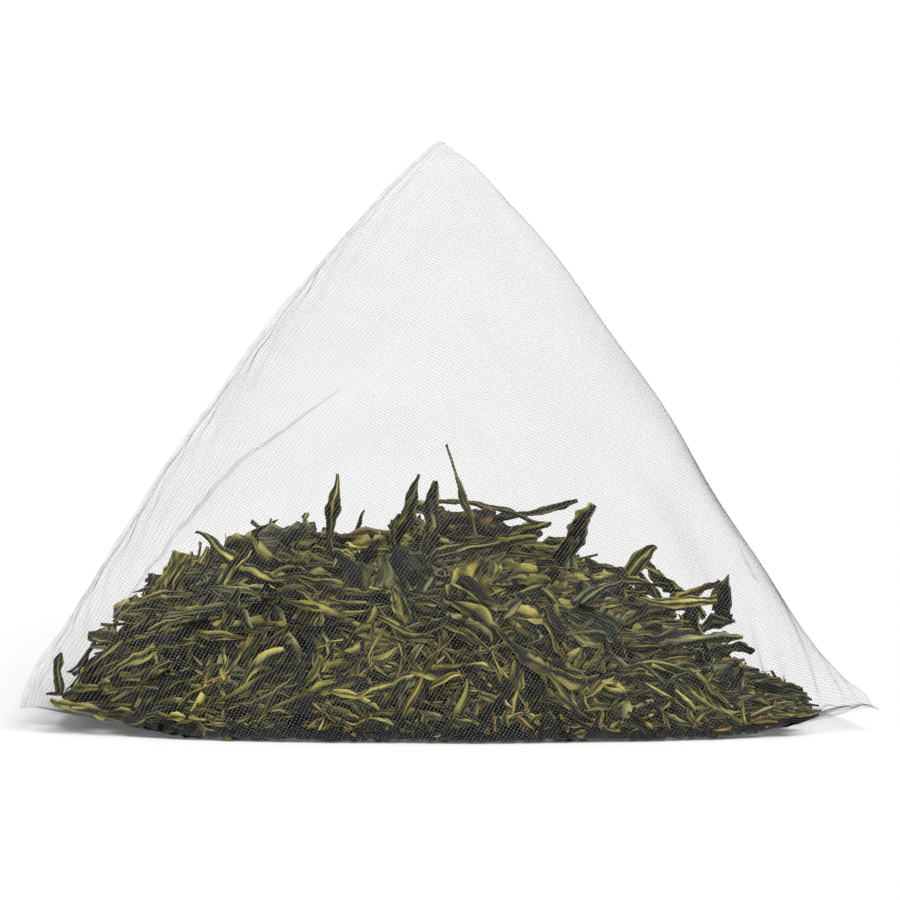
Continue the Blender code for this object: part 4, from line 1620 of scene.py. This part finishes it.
@dataclass
class TeaBed:
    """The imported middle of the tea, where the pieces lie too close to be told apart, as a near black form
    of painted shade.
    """

    room: TeaRoom
    from_wall: float = 0.0021
    below_top: float = 0.0018
    fold_shade_from_wall: float = 0.0005
    fold_shade_rise: float = 0.03
    lumps: float = 0.0006
    lump_spacing: float = 0.0011
    lump_sink: float = 0.7
    subdivisions: int = 6

    def build(self, finish: bpy.types.Material) -> bpy.types.Object:
        """Makes the bed as one lumpy form that fills the room up to a little inside its walls.

        Args:
            finish: The bed's finish.

        Returns:
            The bed's object.
        """
        bed = bmesh.new()
        bmesh.ops.create_icosphere(bed, subdivisions=self.subdivisions, radius=1.0)
        for vertex in bed.verts:
            aim = vertex.co.normalized()
            # The bed reaches farther out along the folds at the bottom, where its near black paints the dark
            # contact shade under the bag
            part = min(max(aim.z / self.fold_shade_rise, 0.0), 1.0)
            from_wall = self.fold_shade_from_wall + (self.from_wall - self.fold_shade_from_wall) * part
            point = self.room.reach(aim, from_wall, self.below_top)
            spot = point / self.lump_spacing
            lump = noise.noise(spot) + 0.5 * noise.noise(spot * 2.3)
            vertex.co = point + aim * self.lumps * (lump - self.lump_sink)
            vertex.co.z = max(vertex.co.z, LEAF_OFF_TABLE)
        piece = add_piece("tea_bed", finished_mesh("tea_bed", bed), finish)
        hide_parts("leaf_heap")
        return piece


@dataclass
class FoldShadeCrumbs:
    """A lumpy line of near black crumbs all along the bag's front bottom fold, painted shade for the dark
    contact line there.
    """

    sheet: FoldedSheet
    first: float = 0.12
    last: float = 0.93
    stations: int = 420
    sides: int = 10
    inward: tuple[float, float, float] = (0.0, 0.00048, 0.00026)
    size: float = 0.00042
    grain: float = 0.00045
    lumps: float = 0.55
    end_slope: float = 12.0
    end_inward: float = 0.4
    end_size: float = 0.2

    def build(self, finish: bpy.types.Material) -> bpy.types.Object:
        """Makes the line as one lumpy bar of painted shade.

        Args:
            finish: The line's finish.

        Returns:
            The line's object.
        """
        line = bmesh.new()
        add_bar(line, self.stations, self.sides, 1.0)
        shares = np.array([vertex.co.x for vertex in line.verts])
        across = self.first + (self.last - self.first) * shares
        folds = self.sheet.at(across, across, np.zeros(len(across)))
        for vertex, share, fold in zip(line.verts, shares, folds):
            aside = Vector((0.0, vertex.co.y, vertex.co.z))
            taper = min(1.0, self.end_slope * share, self.end_slope * (1.0 - share))
            middle = Vector(fold) + Vector(self.inward) * max(taper, self.end_inward)
            lump = noise.noise((middle + aside * self.grain) / self.grain)
            lump += 0.6 * noise.noise(middle / self.grain / 3.0)
            size = self.end_size + (1.0 - self.end_size) * taper
            vertex.co = middle + aside * self.size * size * (1.0 + self.lumps * lump)
            vertex.co.z = max(vertex.co.z, LEAF_OFF_TABLE)
        return add_piece("fold_shade_crumbs", finished_mesh("fold_shade_crumbs", line), finish)


@dataclass(frozen=True)
class TeaBatch:
    """One sort of loose tea: how much of it there is, its sizes in metres and how deep it lies."""

    kind: Tea
    count: int
    lengths: tuple[float, float]
    widths: tuple[float, float]
    depths: tuple[float, float]
    stations: int
    columns: int
    ridges: int
    highest: float = 1.0


@dataclass(frozen=True)
class ShownLeaf:
    """A leaf that stands out in the heap: its path over the bag's width and height, and how far back it lies.

    Path and width are in millimetres.
    """

    tint: Tint
    path: tuple[tuple[float, float], ...]
    width: float
    back: float
    ends: tuple[float, float] = (0.7, 0.3)
    kind: Tea = Tea.STRIP


@dataclass
class LooseTea:
    """Many narrow leaves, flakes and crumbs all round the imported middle, and the few that stand out."""

    room: TeaRoom
    finishes: TeaFinishes
    batches: tuple[TeaBatch, ...] = (
        TeaBatch(Tea.STRIP, 560, (0.0036, 0.0095), (0.0005, 0.0015), (0.0005, 0.0024), 11, 6, 3),
        TeaBatch(Tea.STRIP, 420, (0.0018, 0.0045), (0.0003, 0.0009), (0.0004, 0.0020), 6, 6, 3),
        TeaBatch(Tea.FLAKE, 110, (0.0014, 0.0032), (0.0008, 0.0015), (0.0004, 0.0011), 6, 3, 1),
        TeaBatch(Tea.FLAKE, 90, (0.0028, 0.0060), (0.0012, 0.0023), (0.0005, 0.0014), 11, 5, 2),
        TeaBatch(Tea.STEM, 150, (0.0030, 0.0075), (0.0002, 0.0004), (0.0004, 0.0010), 8, 6, 3),
        TeaBatch(Tea.STRIP, 520, (0.0020, 0.0055), (0.0004, 0.0010), (0.0003, 0.0014), 7, 6, 3, 0.0050),
        TeaBatch(Tea.CRUMB, 620, (0.0006, 0.0020), (0.0003, 0.0007), (0.00012, 0.0007), 3, 6, 3, 0.0018),
    )
    # First those that stick up out of the heap, from left to right, then those that lie against the front
    shown: tuple[ShownLeaf, ...] = (
        ShownLeaf(Tint.DARK, ((-26.7, 2.4), (-26.8, 3.8), (-26.6, 5.1)), 0.6, 0.45),
        ShownLeaf(Tint.DARK, ((-17.2, 9.6), (-16.8, 10.6), (-16.5, 11.5)), 0.6, 0.35),
        ShownLeaf(Tint.OLIVE, ((-3.6, 9.6), (-3.8, 11.0), (-3.6, 12.9)), 0.8, 0.35),
        ShownLeaf(Tint.DARK, ((-2.2, 9.0), (-1.4, 11.0), (-1.3, 12.6), (-1.1, 14.8)), 1.2, 0.40),
        ShownLeaf(Tint.GREY, ((8.2, 8.6), (8.8, 10.4), (9.5, 12.2)), 1.3, 0.45, (0.8, 0.3)),
        ShownLeaf(Tint.OLIVE, ((11.6, 6.4), (12.0, 8.0), (13.0, 9.6), (14.4, 11.0)), 1.2, 0.40, (0.7, 0.4)),
        ShownLeaf(Tint.GREY, ((17.4, 5.4), (18.6, 6.1), (19.6, 6.6)), 0.9, 0.45, (0.6, 0.4)),
        ShownLeaf(Tint.DARK, ((17.6, 3.6), (19.4, 4.3), (21.1, 4.7)), 0.9, 0.45, (0.6, 0.4)),
        ShownLeaf(Tint.DARK, ((19.0, 1.5), (21.6, 2.0), (24.2, 2.3)), 1.4, 0.45, (0.7, 0.8)),
        ShownLeaf(Tint.GREY, ((-9.6, 3.0), (-7.0, 5.2), (-4.4, 7.4), (-2.0, 9.4)), 1.9, 0.06, (0.3, 0.5)),
        ShownLeaf(
            Tint.OLIVE, ((-23.6, 3.6), (-20.2, 5.4), (-16.6, 6.8), (-13.4, 8.4)), 1.2, 0.08, (0.3, 0.3)
        ),
        ShownLeaf(Tint.YELLOW, ((-8.0, 8.9), (-8.9, 7.3), (-8.2, 5.6), (-9.6, 2.9)), 0.9, 0.04, (0.5, 0.4)),
        ShownLeaf(
            Tint.YELLOW, ((-8.0, 10.6), (-7.4, 11.4), (-6.7, 11.1), (-6.7, 10.0)), 0.7, 0.12, (0.5, 0.6)
        ),
        ShownLeaf(Tint.YELLOW, ((-4.0, 11.6), (-4.1, 10.4), (-4.3, 9.2)), 1.9, 0.10, (0.8, 0.6), Tea.FLAKE),
        ShownLeaf(Tint.OLIVE, ((-3.3, 5.1), (-1.4, 4.6), (0.5, 3.8)), 2.6, 0.05, (0.6, 0.6), Tea.FLAKE),
        ShownLeaf(Tint.GREY, ((-0.6, 10.6), (-0.4, 8.4), (-0.9, 6.2)), 1.4, 0.08, (0.6, 0.3)),
        ShownLeaf(Tint.YELLOW, ((0.7, 10.8), (0.6, 9.6), (0.8, 8.6)), 1.6, 0.12, (0.8, 0.6), Tea.FLAKE),
        ShownLeaf(Tint.OLIVE, ((5.2, 4.2), (7.6, 5.6), (10.4, 7.4)), 1.5, 0.06, (0.4, 0.4)),
        ShownLeaf(Tint.YELLOW, ((9.0, 3.6), (11.8, 3.8), (15.6, 3.0)), 1.3, 0.06, (0.4, 0.4)),
        ShownLeaf(Tint.OLIVE, ((3.6, 1.6), (6.2, 2.6), (8.8, 4.4)), 1.4, 0.05, (0.4, 0.6)),
    )
    # The leaves lean by the place over the bag's width, in degrees
    lean_left: float = 30.0
    lean_right: float = -30.0
    lean_spread: float = 24.0
    middle_spread: float = 42.0
    half_span: float = 0.025
    above_top: float = 0.0009
    bends: tuple[float, float] = (-0.10, 0.04)
    sways: tuple[float, float] = (-0.14, 0.14)
    tilts: tuple[float, float] = (-0.8, 0.8)
    shown_twist: float = 0.4

    def spine(
        self, chance: random.Random, batch: TeaBatch, place: Vector, outward: Vector
    ) -> LeafSpine | None:
        """Draws the spine of one leaf that lies in the outermost tea.

        Args:
            chance: The source of chance.
            batch: The sort of tea.
            place: The nearest place on the tea's outside.
            outward: The outward direction there.

        Returns:
            The spine, or nothing where it has no room.
        """
        length = chance.uniform(*batch.lengths)
        point = place - outward * chance.uniform(*batch.depths)
        part = min(max((point.x + self.half_span) / (2.0 * self.half_span), 0.0), 1.0)
        spread = self.lean_spread + self.middle_spread * (1.0 - abs(2.0 * part - 1.0))
        lean = math.radians(
            self.lean_left + (self.lean_right - self.lean_left) * part + chance.gauss(0.0, spread)
        )
        ahead = Vector((math.cos(lean), chance.uniform(-0.5, 0.5), math.sin(lean)))
        ahead -= outward * ahead.dot(outward) * chance.uniform(0.8, 1.0)
        ahead.normalize()
        bend = outward * chance.uniform(*self.bends) * length
        sway = ahead.cross(outward) * chance.uniform(*self.sways) * length
        places = [
            point + ahead * length / 2.0 * share + (bend + sway) * (1.0 - share * share)
            for share in SPINE_SHARES
        ]
        least = batch.depths[0]
        for point in places:
            over = point.z - float(self.room.top(point.x, point.y))
            if point.z < LEAF_OFF_TABLE or over > self.above_top or self.room.depth(point) < least:
                return None
        side = (ahead.cross(outward) + outward * chance.uniform(*self.tilts)).normalized()
        return LeafSpine(places, [side] * len(places), chance.uniform(*batch.widths) / 2.0)

    def pour(self, batch: TeaBatch, chance: random.Random, add: Callable) -> int:
        """Makes one batch of leaves.

        Args:
            batch: The sort of tea.
            chance: The source of chance.
            add: The function that takes each leaf and its finish.

        Returns:
            How many leaves found room.
        """
        spots = self.room.skin(np.random.default_rng(SEED + batch.count), batch.count * BATCH_TRIES)
        made = 0
        for place, outward in spots:
            if made == batch.count:
                break
            if place.z > batch.highest:
                continue
            spine = self.spine(chance, batch, place, outward)
            if spine is None:
                continue
            form = LeafForm.drawn(batch.kind, chance, batch.stations, batch.columns, batch.ridges)
            leaf = blade(spine, form) if batch.kind is Tea.FLAKE else rolled(spine, form)
            add(leaf, self.finishes.pick(batch.kind, chance))
            made += 1
        return made

    def build(self) -> None:
        """Makes the leaves, joined into one piece for each finish."""
        chance = random.Random(SEED)
        bundles: dict[bpy.types.Material, bmesh.types.BMesh] = {}

        def add(leaf: bmesh.types.BMesh, finish: bpy.types.Material) -> None:
            """Adds a leaf to the bundle of its finish.

            Args:
                leaf: The leaf, which is freed.
                finish: Its finish.
            """
            if finish not in bundles:
                bundles[finish] = new_leaf()
            join_form(bundles[finish], leaf)

        for item in self.shown:
            places = [self.room.between(x * MM, z * MM, item.back) for x, z in item.path]
            ahead = (places[-1] - places[0]).normalized()
            side = ahead.cross(Vector((0.0, 1.0, 0.2))).normalized()
            spine = LeafSpine(places, [side] * len(places), item.width * MM / 2.0)
            open_leaf = item.kind is Tea.FLAKE
            form = LeafForm.drawn(item.kind, chance, 30, 11 if open_leaf else 14, 2 if open_leaf else 4)
            form = replace(form, ends=item.ends, twist=form.twist * self.shown_twist)
            add(blade(spine, form) if open_leaf else rolled(spine, form), self.finishes.by_tint[item.tint])
        for batch in self.batches:
            log.info("loose %s: %d", batch.kind.value, self.pour(batch, chance, add))
        for finish, bundle in bundles.items():
            name = finish.name.replace("pan_fired", "loose")
            add_piece(name, finished_mesh(name, bundle), finish)


@dataclass
class Studio:
    """The white sweep, the soft light and the camera."""

    camera_distance: float = 0.360
    camera_elevation: float = 8.0
    target: tuple[float, float, float] = (0.0, 0.012, 0.017)
    lens_mm: float = 206.0
    shift_up: float = 0.0122
    clip: tuple[float, float] = (0.01, 50.0)
    white: str = "#FFFFFF"
    black: str = "#000000"
    floor_size: float = 6.0
    floor_colour: str = "#FAFAFA"
    floor_roughness: float = 0.9
    floor_glow: float = 0.10
    world_strength: float = 0.28
    key_strength: float = 2.85
    key_angle: float = 35.0
    key_turns: tuple[float, float, float] = (38.0, 14.0, 20.0)

    def camera(self, shift: np.ndarray) -> None:
        """Places the camera at the photograph's angle.

        Args:
            shift: The drafting space's place in the row frame.
        """
        data = bpy.data.cameras.new("camera")
        camera = add_object("camera", data)
        rise = math.radians(self.camera_elevation)
        back = Vector((0.0, -math.cos(rise), math.sin(rise)))
        camera.location = Vector(self.target) + Vector(shift) + back * self.camera_distance
        camera.rotation_euler = (math.pi / 2.0 - rise, 0.0, 0.0)
        data.lens = self.lens_mm
        data.sensor_width = 36.0
        data.shift_y = self.shift_up
        data.clip_start, data.clip_end = self.clip
        bpy.context.scene.camera = camera

    def floor(self) -> None:
        """Lays the white sweep under the bag. It shows white and keeps the bag's shadow."""
        sweep = bmesh.new()
        bmesh.ops.create_grid(sweep, x_segments=1, y_segments=1, size=self.floor_size / 2.0)
        mesh = finished_mesh("sweep", sweep)
        floor = add_object("sweep", mesh)
        material, tree, shader = new_material("matt_white_paper")
        constants = {"Base Color": linear(self.floor_colour), "Roughness": self.floor_roughness}
        set_node(tree, shader, constants | {"Specular IOR Level": 0.0})
        seen = add_node(tree, "LightPath").outputs["Is Camera Ray"]
        glow = add_node(tree, "Emission", {"Color": linear(self.white), "Strength": self.floor_glow})
        dark = add_node(tree, "Emission", {"Color": linear(self.black)})
        picked = add_node(tree, "MixShader", {}, {0: seen, 1: dark.outputs[0], 2: glow.outputs[0]})
        total = add_node(tree, "AddShader", {}, {0: shader.outputs[0], 1: picked.outputs[0]})
        tree.links.new(total.outputs[0], tree.nodes["Material Output"].inputs["Surface"])
        mesh.materials.append(material)

    def light(self) -> None:
        """Sets the white surroundings and one wide soft key light from the upper right front."""
        world = bpy.data.worlds.new("white_studio")
        bpy.context.scene.world = world
        world.use_nodes = True
        tree = world.node_tree
        tree.nodes.clear()
        # What the camera, a gloss or clear nylon sees of the world is full white, while its light is dimmer
        path = add_node(tree, "LightPath").outputs
        seen = path["Is Camera Ray"]
        for ray in ("Is Glossy Ray", "Is Transmission Ray"):
            seen = add_node(tree, "Math", {"operation": "MAXIMUM"}, {0: seen, 1: path[ray]}).outputs[0]
        white = linear(self.white)
        ambient, full = (
            add_node(tree, "Background", {"Color": white, "Strength": strength})
            for strength in (self.world_strength, 1.0)
        )
        mixed = add_node(tree, "MixShader", {}, {0: seen, 1: ambient.outputs[0], 2: full.outputs[0]})
        add_node(tree, "OutputWorld", {}, {"Surface": mixed.outputs[0]})
        data = bpy.data.lights.new("key", "SUN")
        data.energy = self.key_strength
        data.angle = math.radians(self.key_angle)
        add_object("key", data).rotation_euler = [math.radians(turn) for turn in self.key_turns]

    def build(self, shift: np.ndarray) -> None:
        """Makes the whole studio.

        Args:
            shift: The drafting space's place in the row frame.
        """
        self.camera(shift)
        self.floor()
        self.light()
        bpy.context.scene.view_settings.view_transform = "Standard"


def main() -> None:
    """Builds the bag, the tea and the studio, and keeps the sizes of the frame and of the dressed part."""
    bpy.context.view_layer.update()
    sheet = FoldedSheet()
    Studio().build(sheet.shift)
    log.info("studio: camera, sweep and light")
    WovenMesh(sheet).build(NylonFinish())
    WeldSeam(sheet, "side_weld", 0.0, 0.0).build(WeldFinish())
    WeldSeam(sheet, "base_weld", 1.0, 1.0).build(WeldFinish())
    # The crease lines take the weld's finish, as painted shade along the sharp creases
    CreaseShadeLines(sheet).build(WeldFinish())
    room = TeaRoom(sheet)
    finishes = TeaFinishes()
    SingleLeaves(finishes, room).build()
    crumbs = CrumbFinish().build()
    TeaBed(room).build(crumbs)
    FoldShadeCrumbs(sheet).build(crumbs)
    LooseTea(room, finishes).build()


if __name__ == "__main__":
    main()
